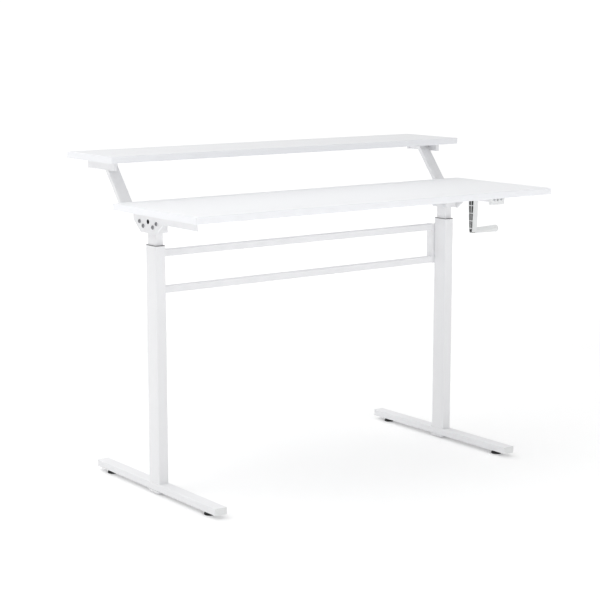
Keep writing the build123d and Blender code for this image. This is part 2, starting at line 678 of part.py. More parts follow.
def crossbar_plugs():
    """Tapped plugs welded into the ends of both crossbars."""
    out = []
    for _, s in sides():
        for z in (CROSS_LOWER_Z, CROSS_UPPER_Z):
            y, h = CROSS_Y + CROSS_H / 2, CROSS_H / 2 - CROSS_WALL
            plug = box(s * CROSS_HALF, s * (CROSS_HALF - 14), y - h, y + h, z - h, z + h)
            out.append(plug - rod_x(y, z, s * CROSS_HALF, s * (CROSS_HALF - 14), CROSS_BOLT_D))
    return joined(out)


def crossbar_bolts():
    """Two bolts into the back of each leg and one into each end of each crossbar."""
    out = []
    for _, s in sides():
        for z in cross_bolt_heights():
            seat = LEG_REAR + SHEET
            head = rod_y(s * LEG_X, z, seat, seat + CROSS_BOLT_HEAD_H, CROSS_BOLT_HEAD_D)
            out.append(head + rod_y(s * LEG_X, z, LEG_REAR - LEG_WALL - 2.5, seat, CROSS_BOLT_D))
        for z in (CROSS_LOWER_Z, CROSS_UPPER_Z):
            y, seat = CROSS_Y + CROSS_H / 2, s * (CROSS_HALF + SHEET)
            head = rod_x(y, z, seat, seat + s * CROSS_BOLT_HEAD_H, CROSS_BOLT_HEAD_D)
            out.append(head + rod_x(y, z, seat, s * (CROSS_HALF - 12), CROSS_BOLT_D))
    return joined(out)


# ---------------------------------------------------------------- shelf arms
def slanted(y_front, depth, x0, x1, z0, z1):
    """A leaning block: y_front is its front face at the desktop's underside."""
    def at(z):
        return y_front + (z - DESK_UNDER) * ARM_SLOPE
    corners = [(at(z0), z0), (at(z0) + depth, z0), (at(z1) + depth, z1), (at(z1), z1)]
    wire = Polyline(*[(min(x0, x1), y, z) for y, z in corners], close=True)
    return extrude(make_face(wire), abs(x1 - x0), dir=(1, 0, 0))


def shelf_arm(s):
    """Flat rectangular tube leaning back from behind the desktop up to the shelf."""
    x0, x1 = s * ARM_X, s * (ARM_X + ARM_W)
    arm = slanted(ARM_FOOT_Y, ARM_DEPTH, x0, x1, DESK_UNDER, ARM_TOP_Z)
    wall = ARM_WALL / cos(radians(ARM_LEAN))
    bore = slanted(ARM_FOOT_Y + wall, ARM_DEPTH - 2 * wall, x0 + s * ARM_WALL, x1 - s * ARM_WALL,
                   DESK_UNDER - 1, ARM_TOP_Z + 1)
    long_edges = [e for e in arm.edges() if abs(e.tangent_at(0.5).Z) > 0.5]
    return fillet(long_edges, 1.5) - bore


def arm_plates():
    """Plates under the desktop's rear edge that the arms are welded to."""
    out = []
    for _, s in sides():
        rear = ARM_FOOT_Y + ARM_DEPTH + 2
        plate = box(s * ARM_X, s * (ARM_X + ARM_W), rear - ARM_PLATE_L, rear,
                    DESK_UNDER - ARM_PLATE_T, DESK_UNDER)
        plate = fillet(plate.edges().filter_by(Axis.Z), 3)
        for x, y in arm_screw_places(s):
            plate -= rod_z(x, y, 0, DESK_TOP, SCREW_D + 2 * PILOT_GAP)
        out.append(plate)
    return joined(out)


def shelf_bracket(s):
    """Folded sheet under the shelf: top flange, outer wall, and a narrow tab turned in at each end."""
    wall_in = s * (ARM_X + ARM_W)
    wall_out = wall_in + s * SHEET
    y0, y1 = SHELF_BRACKET_FRONT, SHELF_BRACKET_FRONT + SHELF_BRACKET_L
    low = SHELF_UNDER - SHELF_BRACKET_H
    bracket = box(wall_out, wall_out - s * SHELF_BRACKET_W, y0, y1, SHELF_UNDER - SHEET, SHELF_UNDER)
    bracket += box(wall_in, wall_out, y0, y1, low, SHELF_UNDER)
    for tab in (y0, y1 - SHEET):
        bracket += box(wall_out, wall_out - s * SHELF_TAB, tab, tab + SHEET, low, SHELF_UNDER)
    for x, y in shelf_screw_places(s):
        bracket -= rod_z(x, y, 0, SHELF_TOP, SCREW_D + 2 * PILOT_GAP)
    return bracket


# ---------------------------------------------------------------- crank
def crank_arm():
    """Moulded lever hanging from its hub: a tapered shell with two columns of pockets on its inner side."""
    def lever(top_r, tip_r, x0, x1):
        hub = rod_x(LEG_Y, AXIS_Z, x0, x1, 2 * top_r)
        tip = rod_x(LEG_Y, GRIP_Z, x0, x1, 2 * tip_r)
        taper = [(LEG_Y - top_r, AXIS_Z), (LEG_Y + top_r, AXIS_Z), (LEG_Y + tip_r, GRIP_Z),
                 (LEG_Y - tip_r, GRIP_Z)]
        web = extrude(make_face(Polyline(*[(x0, y, z) for y, z in taper], close=True)), x1 - x0, dir=(1, 0, 0))
        return hub + web + tip

    arm = lever(CRANK_TOP_R, CRANK_TIP_R, CRANK_X, ARM_OUT_X)
    arm = fillet(arm.faces().sort_by(Axis.X)[-1].edges(), 1.5)
    hollow = lever(CRANK_TOP_R - CRANK_WALL, CRANK_TIP_R - CRANK_WALL, CRANK_X - 1, CRANK_X + CRANK_POCKET)
    keep = box(CRANK_X - 2, ARM_OUT_X, LEG_Y - CRANK_WALL / 2, LEG_Y + CRANK_WALL / 2, GRIP_Z, AXIS_Z)
    for i in range(CRANK_ROWS):
        z = GRIP_Z + 7 + i * CRANK_PITCH
        keep += box(CRANK_X - 2, ARM_OUT_X, LEG_Y - 20, LEG_Y + 20, z - CRANK_WALL / 2, z + CRANK_WALL / 2)
    keep += rod_x(LEG_Y, AXIS_Z, CRANK_X - 2, ARM_OUT_X, HEX_AF + 8)
    keep += rod_x(LEG_Y, GRIP_Z, CRANK_X + 5, ARM_OUT_X, 4 * CRANK_TIP_R)
    arm -= hollow - keep
    arm -= hex_x(LEG_Y, AXIS_Z, CRANK_X - 1, CRANK_X + CRANK_SHAFT_IN, HEX_AF)
    arm -= rod_x(LEG_Y, GRIP_Z, CRANK_X, ARM_OUT_X + 1, GRIP_PIN_D)
    return arm


def crank_shaft():
    """Hexagonal shaft of the removable crank, pushed into the right-hand socket."""
    return hex_x(LEG_Y, AXIS_Z, LEG_X + 2, CRANK_X + CRANK_SHAFT_IN, HEX_AF)


def grip_pin():
    return rod_x(LEG_Y, GRIP_Z, CRANK_X + 5.5, GRIP_END - 8, GRIP_PIN_D)


def crank_grip():
    """Tapered handle, thicker outwards, with shallow lengthwise flutes; it turns on the pin."""
    x0, x1 = ARM_OUT_X + GRIP_GAP, GRIP_END
    r0, r1 = GRIP_D_IN / 2, GRIP_D_OUT / 2
    body = Pos((x0 + x1) / 2, LEG_Y, GRIP_Z) * Rot(0, 90, 0) * Cone(r0, r1, x1 - x0)
    rims = body.edges().filter_by(GeomType.CIRCLE).sort_by(Axis.X)
    body = fillet(rims[-1], 5)
    body = fillet(body.edges().filter_by(GeomType.CIRCLE).sort_by(Axis.X)[0], 1)
    for i in range(GRIP_FLUTES):
        turn = 2 * pi * i / GRIP_FLUTES
        reach0, reach1 = r0 + 0.9, r1 + 0.9
        start = Vector(x0 + 10, LEG_Y + reach0 * cos(turn), GRIP_Z + reach0 * sin(turn))
        end = Vector(x1 - 9, LEG_Y + reach1 * cos(turn), GRIP_Z + reach1 * sin(turn))
        run = end - start
        flute = Plane(origin=start, z_dir=run) * Pos(0, 0, run.length / 2) * Cylinder(2, run.length)
        body -= flute + Pos(*start) * Sphere(2) + Pos(*end) * Sphere(2)
    return body - rod_x(LEG_Y, GRIP_Z, x0 - 1, GRIP_END - 7, GRIP_PIN_D + 2 * RUN_GAP)


# ---------------------------------------------------------------- crank storage
def crank_park_block():
    """Moulded block in the open front end of the right-hand rail, with a hexagonal hole for the crank."""
    y0, y1 = RAIL_FRONT, RAIL_FRONT + PARK_D
    block = box(PARK_X0, PARK_X1, y0, y1, RAIL_LOW, CASE_TOP)
    block = fillet(block.edges().filter_by(Axis.Y), 2)
    hole = RegularPolygon(PARK_HOLE_AF / 2, 6, major_radius=False, rotation=30)
    block -= extrude(Plane(origin=(PARK_MID, y0, PARK_Z), z_dir=(0, 1, 0)) * hole, PARK_D + 1)
    for x in park_screw_places():
        block -= rod_y(x, PARK_Z, y0 - 1, y1 + 1, PARK_SCREW_D + 2 * PILOT_GAP)
    return block


def park_screws():
    out = []
    for x in park_screw_places():
        head = rod_y(x, PARK_Z, RAIL_FRONT - 2, RAIL_FRONT, PARK_SCREW_HEAD_D)
        head = fillet(head.edges().sort_by(Axis.Y)[0], 1)
        out.append(head + rod_y(x, PARK_Z, RAIL_FRONT, RAIL_FRONT + PARK_D + SHEET, PARK_SCREW_D))
    return joined(out)


def main():
    os.makedirs("parts", exist_ok=True)
    single = {
        "desktop": desktop, "shelf": shelf, "desktop_screws": desktop_screws, "shelf_screws": shelf_screws,
        "foot_end_caps": foot_end_caps, "foot_inserts": foot_inserts, "under_foot_plates": under_foot_plates,
        "foot_bolts": foot_bolts, "leg_blocks": leg_blocks, "inner_tube_pads": inner_tube_pads,
        "spindle_bearings": spindle_bearings, "rod_bushes": rod_bushes, "case_screws": case_screws,
        "cross_rod": cross_rod, "rod_clips": rod_clips, "bracket_bolts": bracket_bolts,
        "crossbar_plugs": crossbar_plugs, "crossbar_bolts": crossbar_bolts, "arm_plates": arm_plates,
        "crank_arm": crank_arm, "crank_shaft": crank_shaft, "grip_pin": grip_pin, "crank_grip": crank_grip,
        "crank_park_block": crank_park_block, "park_screws": park_screws,
        "gearbox_lids": gearbox_lids, "spindle_nuts": spindle_nuts,
    }
    paired = {
        "foot": foot, "leg_tube": leg_tube, "guide_collar": guide_collar, "inner_tube": inner_tube,
        "nut_tube": nut_tube, "spindle": spindle, "spindle_gear": spindle_gear,
        "pinion": pinion, "gearbox_case": gearbox_case,
        "side_bracket": side_bracket, "crossbar_angle": crossbar_angle, "shelf_arm": shelf_arm,
        "shelf_bracket": shelf_bracket,
    }
    for name, make in single.items():
        save(name, make())
    for name, make in paired.items():
        for side, s in sides():
            save(f"{side}_{name}", make(s))
    save("upper_crossbar", crossbar(CROSS_UPPER_Z))
    save("lower_crossbar", crossbar(CROSS_LOWER_Z))
    for side, s in sides():
        for end, y in foot_ends():
            save(f"glide_{end}_{side}", glide(s, y))
    print("origin in desktop coordinates:", ORIGIN, "turns up and down:", TRAVEL_UP / LEAD, TRAVEL_DOWN / LEAD)


main()
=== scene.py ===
"""Two-tier sit-stand desk with a hand crank: its surfaces, fine parts, floor, lights and camera.

Lengths are in metres. +X points to the sitter's right, +Y to the back and +Z up.
"""
import json
import math

import bmesh
import bpy
from bpy.props import FloatProperty, FloatVectorProperty, IntProperty, PointerProperty
from mathutils import Matrix, Vector


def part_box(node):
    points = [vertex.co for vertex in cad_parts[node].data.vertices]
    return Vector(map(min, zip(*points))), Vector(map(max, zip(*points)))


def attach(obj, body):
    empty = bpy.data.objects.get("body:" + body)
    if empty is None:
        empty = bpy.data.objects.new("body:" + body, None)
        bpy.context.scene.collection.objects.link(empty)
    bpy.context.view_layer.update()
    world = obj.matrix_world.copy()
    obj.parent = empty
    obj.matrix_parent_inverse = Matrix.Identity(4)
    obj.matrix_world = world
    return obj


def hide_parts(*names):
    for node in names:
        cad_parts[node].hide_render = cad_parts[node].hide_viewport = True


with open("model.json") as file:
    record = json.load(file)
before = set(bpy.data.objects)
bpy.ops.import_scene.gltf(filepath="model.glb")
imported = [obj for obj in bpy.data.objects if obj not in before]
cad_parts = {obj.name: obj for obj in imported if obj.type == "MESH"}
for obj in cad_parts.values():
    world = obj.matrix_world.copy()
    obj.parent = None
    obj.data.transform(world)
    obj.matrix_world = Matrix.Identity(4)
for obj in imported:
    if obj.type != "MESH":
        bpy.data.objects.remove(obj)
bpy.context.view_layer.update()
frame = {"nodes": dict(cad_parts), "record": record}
NODES = frame["nodes"]
SLOT_OF = {part["node"]: part["material_slot"] for part in frame["record"]["subparts"]}
LEG_MIDDLE = (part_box("left_leg_tube")[0].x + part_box("right_leg_tube")[1].x) / 2
MM = 0.001

bl_info = {
    "name": "Crank Desk",
    "version": (1, 0, 0),
    "blender": (4, 5, 0),
    "location": "View3D > Sidebar > Crank Desk",
    "description": "Dresses a two-tier crank desk: boards, powder coat, fasteners, drive parts and studio",
    "category": "Object",
}


# ------------------------------------------------------------------ sizes and colours
def length(name, description, default):
    """A length, in metres."""
    return FloatProperty(name=name, description=description, default=default, min=0.0, unit="LENGTH",
                         precision=5)


def colour(name, description, default):
    """A colour without alpha."""
    return FloatVectorProperty(name=name, description=description, default=default, subtype="COLOR", size=3,
                               min=0.0, max=1.0)


def amount(name, description, default, low=0.0, high=1.0):
    """A plain number between two limits."""
    return FloatProperty(name=name, description=description, default=default, min=low, max=high)


def power(name, description, default):
    """A light's power, in watts."""
    return FloatProperty(name=name, description=description, default=default, min=0.0, unit="POWER")


class BoardSizes(bpy.types.PropertyGroup):
    """Melamine boards and their edge band."""
    band: length("Band thickness", "Thickness of the plastic band glued round the edges", 1.2 * MM)
    groove: length("Joint groove", "Width of the fine groove between face and band", 0.15 * MM)
    edge_radius: length("Edge radius", "Rounding of the band's long edges", 0.9 * MM)
    corner_radius: length("Corner radius", "Rounding of the board's corners, seen from above", 2.5 * MM)
    face: colour("Face colour", "White of the melamine faces", (0.91, 0.918, 0.935))
    edge: colour("Band colour", "White of the edge band", (0.905, 0.915, 0.94))
    gloss: amount("Face roughness", "Roughness of the melamine", 0.42)
    shelf_edge_tone: amount("Shelf band tone", "Brightness of the shelf's band beside the desktop's", 0.96)
    shelf_tone: amount("Shelf tone", "Brightness of the shelf's white beside the desktop's", 0.90)


class MetalSizes(bpy.types.PropertyGroup):
    """Powder coat, plated steel and welds."""
    coat: colour("Powder coat", "White of the frame", (0.856, 0.858, 0.87))
    peel: length("Coat texture", "Size of the powder coat's fine dimples", 1.4 * MM)
    coat_roughness: amount("Coat roughness", "Roughness of the powder coat", 0.46)
    zinc: colour("Zinc", "Colour of plated screws and bolts", (0.56, 0.57, 0.59))
    oiled: colour("Oiled steel", "Colour of the rods and spindles", (0.34, 0.34, 0.35))
    dark: colour("Blackened steel", "Colour of the gears and pinions", (0.035, 0.036, 0.04))
    brass: colour("Brass", "Colour of the fixed nuts", (0.62, 0.43, 0.16))
    weld_radius: length("Weld size", "Radius of a weld bead", 1.7 * MM)
    weld_pitch: length("Weld ripple", "Distance between the ripples of a weld", 1.3 * MM)


class PlasticSizes(bpy.types.PropertyGroup):
    """Moulded parts: crank, caps, glides and collars."""
    white: colour("White plastic", "Colour of the crank and caps", (0.80, 0.81, 0.81))
    black: colour("Black nylon", "Colour of the glides", (0.014, 0.014, 0.015))
    # painted shade: this grey is laid in the crank arm's pockets to stand for the shade there
    core: colour("Pocket grey", "Colour down in the crank arm's moulded pockets", (0.16, 0.16, 0.16))
    collar: colour("Grey nylon", "Colour of the guide collars", (0.16, 0.16, 0.165))
    flutes: IntProperty(name="Grip flutes", description="Lengthwise flutes on the grip", default=8, min=0)
    flute_depth: length("Flute depth", "Depth of a flute", 0.9 * MM)
    ribs: IntProperty(name="Glide ribs", description="Ribs round the rim of a glide", default=36, min=3)
    rib_width: length("Rib width", "Width of a rib on a glide", 1.5 * MM)


class DriveSizes(bpy.types.PropertyGroup):
    """Screw spindles in the legs."""
    pitch: length("Thread lead", "Rise of the thread in one turn", 8.0 * MM)
    depth: length("Thread depth", "Depth of the trapezoid thread", 1.1 * MM)
    starts: IntProperty(name="Thread starts", description="Number of parallel threads", default=2, min=1)


class StudioSizes(bpy.types.PropertyGroup):
    """Floor, lights and camera."""
    floor: amount("Floor white", "How much light the floor sends back", 0.90)
    floor_glow: amount("Floor lift", "Even light added to the floor, so that it stays white", 0.128)
    far_glow: amount("Far floor lift", "Even light added to the floor far from the desk", 0.32)
    overhead: amount("Dome overhead", "Brightness of the dome straight up", 1.461, 0.0, 5.0)
    behind: amount("Dome behind", "Brightness of the dome behind the desk", 0.924, 0.0, 5.0)
    horizon: amount("Dome horizon", "Brightness added in a low band all round", 0.468, 0.0, 5.0)
    left: power("Left light", "Soft light level with the left-hand side", 13.0)
    upper_left: power("Upper left light", "Soft light above the left-hand side", 21.6)
    front: power("Front light", "Soft light in front of the desk", 38.0)
    front_left: power("Front left light", "Soft light beside the camera", 17.4)
    rear: power("Rear light", "Soft light high behind the desk", 23.3)
    lens: FloatProperty(name="Lens", description="Focal length in millimetres on a 36 mm wide sensor",
                        default=97.12, min=10.0)


# ------------------------------------------------------------------ shader writing
class Wire:
    """A shader output that takes part in ordinary arithmetic; each operation adds its Math node."""

    def __init__(self, shader, socket):
        self.shader = shader
        self.socket = socket

    def math(self, operation, first, second=None):
        values = {0: first} if second is None else {0: first, 1: second}
        return self.shader.add("ShaderNodeMath", {"operation": operation}, values)

    def __add__(self, other):
        return self.math("ADD", self, other)

    def __sub__(self, other):
        return self.math("SUBTRACT", self, other)

    def __rsub__(self, other):
        return self.math("SUBTRACT", other, self)

    def __mul__(self, other):
        return self.math("MULTIPLY", self, other)

    def __pow__(self, other):
        return self.math("POWER", self, other)

    def above(self, limit):
        return self.math("GREATER_THAN", self, limit)

    def below(self, limit):
        return self.math("LESS_THAN", self, limit)

    __radd__ = __add__
    __rmul__ = __mul__


class Finish:
    """One node tree of a material, or of a world, built with add()."""

    def __init__(self, name, kind="materials", coordinates="Object"):
        self.material = getattr(bpy.data, kind).new(name)
        self.material.use_nodes = True
        self.tree = self.material.node_tree
        self.tree.nodes.clear()
        self.place = self.add("ShaderNodeTexCoord", output=coordinates)

    def add(self, kind, settings=None, values=None, output=0):
        """Adds a node: its settings, then the values or wires of its inputs. Returns one of its outputs."""
        node = self.tree.nodes.new(kind)
        for key, value in (settings or {}).items():
            if key == "stops":
                ramp = node.color_ramp.elements
                for element, (at, shade) in zip(ramp, value):
                    element.position = at
                    element.color = (shade, shade, shade, 1.0)
            else:
                setattr(node, key, value)
        for key, value in (values or {}).items():
            if isinstance(value, Wire):
                self.tree.links.new(value.socket, node.inputs[key])
            else:
                node.inputs[key].default_value = value
        return None if output is None else Wire(self, node.outputs[output])

    def noise(self, size, detail=2.0, place=None):
        """Soft noise from 0 to 1 whose patches are about size metres across."""
        values = {"Vector": place or self.place, "Scale": 1.0 / size, "Detail": detail, "Roughness": 0.55}
        return self.add("ShaderNodeTexNoise", {"noise_dimensions": "3D"}, values, "Fac")

    def cells(self, size):
        """Distance to the nearest of many scattered points, about size metres apart."""
        return self.add("ShaderNodeTexVoronoi", None, {"Vector": self.place, "Scale": 1.0 / size}, "Distance")

    def stretched(self, x, y, z):
        """The object's coordinates scaled along each axis, for streaks and grain."""
        return self.add("ShaderNodeMapping", None, {"Vector": self.place, "Scale": (x, y, z)})

    def ramp(self, value, *stops):
        return self.add("ShaderNodeValToRGB", {"stops": stops}, {"Fac": value})

    def mix(self, factor, first, second):
        """Blends two colours."""
        first = first if isinstance(first, Wire) else (*first, 1.0)
        second = second if isinstance(second, Wire) else (*second, 1.0)
        settings = {"data_type": "RGBA", "clamp_factor": True}
        return self.add("ShaderNodeMix", settings, {0: factor, 6: first, 7: second}, 2)

    def bump(self, height, distance):
        values = {"Height": height, "Distance": distance, "Strength": 1.0}
        return self.add("ShaderNodeBump", None, values, "Normal")

    def done(self, **values):
        """Ends the tree in a Principled shader; keywords are its sockets, with _ for spaces."""
        sockets = {key.replace("_", " "): value for key, value in values.items()}
        if not isinstance(sockets["Base Color"], Wire):
            sockets["Base Color"] = (*sockets["Base Color"], 1.0)
        surface = self.add("ShaderNodeBsdfPrincipled", None, sockets, "BSDF")
        self.add("ShaderNodeOutputMaterial", {"target": "ALL"}, {"Surface": surface}, None)
        return self.material


def shade(rgb, factor):
    """A colour made lighter or darker."""
    return tuple(min(1.0, channel * factor) for channel in rgb)


def melamine(sizes, name, tint=1.0):
    """White melamine paper pressed with a fine pearl texture."""
    f = Finish(name)
    face = shade(sizes.face, tint)
    broad = f.noise(0.16, 3.0)
    pearl = f.noise(0.7 * MM, 2.0)
    specks = f.ramp(f.cells(2.2 * MM), (0.0, 1.0), (0.16, 0.0))
    tone = f.mix(broad, shade(face, 0.99), shade(face, 1.008))
    tone = f.mix(specks * 0.18, tone, shade(face, 0.94))
    rough = (broad - 0.5) * 0.08 + (pearl - 0.5) * 0.10 + sizes.gloss
    return f.done(Base_Color=tone, Roughness=rough, Normal=f.bump(pearl, 0.012 * MM), Specular_IOR_Level=0.45)


def edge_banding(sizes, name, tint=1.0):
    """Plastic edge band: smoother than the face, with faint drawn lines along its length."""
    f = Finish(name)
    edge = shade(sizes.edge, tint)
    drawn = f.noise(1.0 * MM, 2.0, f.stretched(0.01, 0.01, 1.0))
    broad = f.noise(0.09, 2.0)
    tone = f.mix(broad, shade(edge, 0.992), shade(edge, 1.004))
    rough = (drawn - 0.5) * 0.12 + (sizes.gloss - 0.06)
    return f.done(Base_Color=tone, Roughness=rough, Normal=f.bump(drawn, 0.008 * MM), Specular_IOR_Level=0.5)


def powder_coat(sizes, name="powder_coat", tint=1.0, extra=0.0):
    """Satin powder coat with the dimpled skin it cures to; it pools a little, so its tone drifts."""
    f = Finish(name)
    peel = f.noise(sizes.peel, 3.0)
    dimples = f.cells(sizes.peel * 0.8)
    drift = f.noise(0.11, 3.0)
    dust = f.ramp(f.cells(9.0 * MM), (0.0, 1.0), (0.035, 0.0))
    coat = shade(sizes.coat, tint)
    tone = f.mix(drift, shade(coat, 0.98), shade(coat, 1.012))
    tone = f.mix(dust * 0.4, tone, shade(coat, 0.8))
    rough = (drift - 0.5) * 0.10 + (peel - 0.5) * 0.12 + (sizes.coat_roughness + extra)
    normal = f.bump(peel + dimples * 0.5, 0.035 * MM)
    return f.done(Base_Color=tone, Roughness=rough, Normal=normal, Specular_IOR_Level=0.5)


def plated_steel(sizes, name="zinc_plate", tint=1.0):
    """Zinc plating: bluish, a little blotchy, with turning marks."""
    f = Finish(name)
    blotch = f.noise(3.0 * MM, 3.0)
    marks = f.noise(0.25 * MM, 1.0)
    # tint makes darker and lighter copies of this plating; the darker is painted shade, the lighter painted
    # light
    tone = f.mix(blotch, shade(sizes.zinc, 0.82 * tint), shade(sizes.zinc, 1.12 * tint))
    rough = (blotch - 0.5) * 0.22 + (marks - 0.5) * 0.12 + 0.33
    return f.done(Base_Color=tone, Roughness=rough, Metallic=1.0, Normal=f.bump(marks, 0.006 * MM))


def oiled_steel(sizes):
    """Drawn steel under a film of oil, with fine lines along the bar."""
    f = Finish("oiled_steel")
    film = f.noise(18.0 * MM, 3.0)
    drawn = f.noise(0.4 * MM, 2.0, f.stretched(0.05, 1.0, 0.05))
    tone = f.mix(film, shade(sizes.oiled, 0.75), shade(sizes.oiled, 1.15))
    rough = (film - 0.5) * 0.2 + (drawn - 0.5) * 0.14 + 0.3
    return f.done(Base_Color=tone, Roughness=rough, Metallic=1.0, Normal=f.bump(drawn, 0.006 * MM))


def blackened_steel(sizes):
    """Black-oxide gears with grease on them."""
    f = Finish("black_oxide")
    grease = f.noise(4.0 * MM, 3.0)
    grain = f.noise(0.3 * MM, 2.0)
    tone = f.mix(grease, sizes.dark, shade(sizes.dark, 1.9))
    rough = (grease - 0.5) * 0.3 + (grain - 0.5) * 0.1 + 0.42
    return f.done(Base_Color=tone, Roughness=rough, Metallic=0.85, Normal=f.bump(grain, 0.01 * MM))


def turned_brass(sizes):
    """Turned brass, dulled in patches."""
    f = Finish("turned_brass")
    tarnish = f.noise(6.0 * MM, 3.0)
    tone = f.mix(tarnish, shade(sizes.brass, 0.72), shade(sizes.brass, 1.15))
    rough = (tarnish - 0.5) * 0.25 + 0.34
    return f.done(Base_Color=tone, Roughness=rough, Metallic=1.0, Normal=f.bump(tarnish, 0.01 * MM))


def white_moulding(sizes, name="white_moulding", arm=None):
    """White moulded plastic with a spark-eroded texture and faint flow marks. arm is the box of the crank's
    arm; its pockets get painted shade, a dull grey laid within their tapering walls."""
    f = Finish(name)
    spark = f.noise(0.45 * MM, 2.0)
    flow = f.noise(14.0 * MM, 2.0, f.stretched(1.0, 1.0, 0.35))
    tone = f.mix(flow, shade(sizes.white, 0.97), shade(sizes.white, 1.02))
    # painted shade: within the arm's pockets the white gives way to the pocket grey, standing for the shade
    # down there
    if arm:
        low, high = arm
        skin_left, pocket_depth, end_wall = 0.5 * MM, 13.4 * MM, 1.2 * MM
        pin_height, half_width, taper = 8.0 * MM, 6.8 * MM, 5.0 / 109.0
        x, y, z = (f.add("ShaderNodeSeparateXYZ", None, {0: f.place}, axis) for axis in "XYZ")
        aside = y.math("ABSOLUTE", y - (low.y + high.y) / 2)
        wall = (z - (low.z + pin_height)) * taper + half_width
        pocket_shade_mask = x.above(low.x + skin_left) * x.below(low.x + pocket_depth) * aside.below(wall)
        pocket_shade_mask = pocket_shade_mask * z.above(low.z + end_wall) * z.below(high.z - end_wall)
        tone = f.mix(pocket_shade_mask, tone, sizes.core)
    rough = (spark - 0.5) * 0.14 + (flow - 0.5) * 0.08 + 0.44
    return f.done(Base_Color=tone, Roughness=rough, Normal=f.bump(spark, 0.018 * MM), Specular_IOR_Level=0.5)


def nylon(name, base):
    """Moulded nylon: satin, scuffed where it slides."""
    f = Finish(name)
    grain = f.noise(0.5 * MM, 2.0)
    scuff = f.ramp(f.noise(7.0 * MM, 4.0, f.stretched(1.0, 1.0, 0.3)), (0.55, 0.0), (0.75, 1.0))
    tone = f.mix(scuff * 0.35, base, shade(base, 1.8))
    rough = (grain - 0.5) * 0.16 + scuff * 0.12 + 0.46
    return f.done(Base_Color=tone, Roughness=rough, Normal=f.bump(grain, 0.02 * MM), Specular_IOR_Level=0.4)


MATERIALS = {}


def material(name):
    """A finish by name, made the first time that it is asked for."""
    scene = bpy.context.scene
    boards, metal, plastic = scene.desk_boards, scene.desk_metal, scene.desk_plastic
    makers = {
        "face": lambda: melamine(boards, "desktop_melamine"),
        "shelf face": lambda: melamine(boards, "shelf_melamine", boards.shelf_tone),
        "band": lambda: edge_banding(boards, "desktop_edge"),
        "shelf band": lambda: edge_banding(boards, "shelf_edge", boards.shelf_edge_tone),
        "coat": lambda: powder_coat(metal),
        "cast": lambda: powder_coat(metal, "coated_casting", 0.985, 0.04),
        "zinc": lambda: plated_steel(metal),
        # painted shade and painted light: a darker and a lighter copy of the same zinc plating
        "zinc painted shade": lambda: plated_steel(metal, "grey_zinc_plate", 0.55),
        "zinc painted light": lambda: plated_steel(metal, "bright_zinc_plate", 1.5),
        "oiled": lambda: oiled_steel(metal),
        "dark": lambda: blackened_steel(metal),
        "brass": lambda: turned_brass(metal),
        "white": lambda: white_moulding(plastic),
        # the crank's moulding has painted shade in its arm's pockets
        "crank": lambda: white_moulding(plastic, "crank_moulding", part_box("crank_arm")),
        "nylon": lambda: nylon("black_nylon", plastic.black),
        "collar": lambda: nylon("grey_nylon", plastic.collar),
    }
    if name not in MATERIALS:
        MATERIALS[name] = makers[name]()
    return MATERIALS[name]


# ------------------------------------------------------------------ meshes
def new_piece(name, mesh_or_bmesh, body, finish, replaces=()):
    """Links a finished mesh as a piece that rides on a body and stands for some frame nodes."""
    if isinstance(mesh_or_bmesh, bmesh.types.BMesh):
        mesh = bpy.data.meshes.new(name)
        mesh_or_bmesh.to_mesh(mesh)
        mesh_or_bmesh.free()
    else:
        mesh = mesh_or_bmesh
        mesh.name = name
    mesh.materials.clear()
    mesh.materials.append(finish)
    piece = bpy.data.objects.new(name, mesh)
    bpy.context.scene.collection.objects.link(piece)
    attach(piece, body)
    if replaces:
        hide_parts(*replaces)


def smooth_by_angle(bm, degrees=35.0):
    """Smooth shading, with sharp edges where faces meet at more than this angle."""
    limit = math.radians(degrees)
    for face in bm.faces:
        face.smooth = True
    for edge in bm.edges:
        if len(edge.link_faces) == 2 and edge.calc_face_angle(0.0) > limit:
            edge.smooth = False


def skin(bm, loops, close=False):
    """Joins successive loops of points, each with as many points, by rows of faces. Caps the ends."""
    rows = [[bm.verts.new(point) for point in loop] for loop in loops]
    pairs = list(zip(rows, rows[1:]))
    if close:
        pairs.append((rows[-1], rows[0]))
    for lower, upper in pairs:
        for i in range(len(lower)):
            j = (i + 1) % len(lower)
            bm.faces.new((lower[i], lower[j], upper[j], upper[i]))
    if not close:
        bm.faces.new(reversed(rows[0]))
        bm.faces.new(rows[-1])


def turned(profile, steps):
    """A turned part round the Z axis. Each profile entry is (z, radius), and a radius may be a function
    of the angle, which gives flutes and recesses."""
    bm = bmesh.new()
    loops = []
    for z, radius in profile:
        loop = []
        for i in range(steps):
            angle = 2 * math.pi * i / steps
            reach = radius(angle) if callable(radius) else radius
            loop.append((reach * math.cos(angle), reach * math.sin(angle), z))
        loops.append(loop)
    skin(bm, loops)
    bmesh.ops.recalc_face_normals(bm, faces=bm.faces)
    return bm


def rounded_rectangle(centre, half_x, half_y, radius, z, steps=5):
    """A loop of points: a rectangle with rounded corners, counter-clockwise seen from above."""
    radius = max(radius, 0.02 * MM)
    points = []
    for quarter, (sx, sy) in enumerate(((1, 1), (-1, 1), (-1, -1), (1, -1))):
        cx = centre[0] + sx * (half_x - radius)
        cy = centre[1] + sy * (half_y - radius)
        for i in range(steps + 1):
            angle = math.pi / 2 * (quarter + i / steps)
            points.append((cx + radius * math.cos(angle), cy + radius * math.sin(angle), z))
    return points


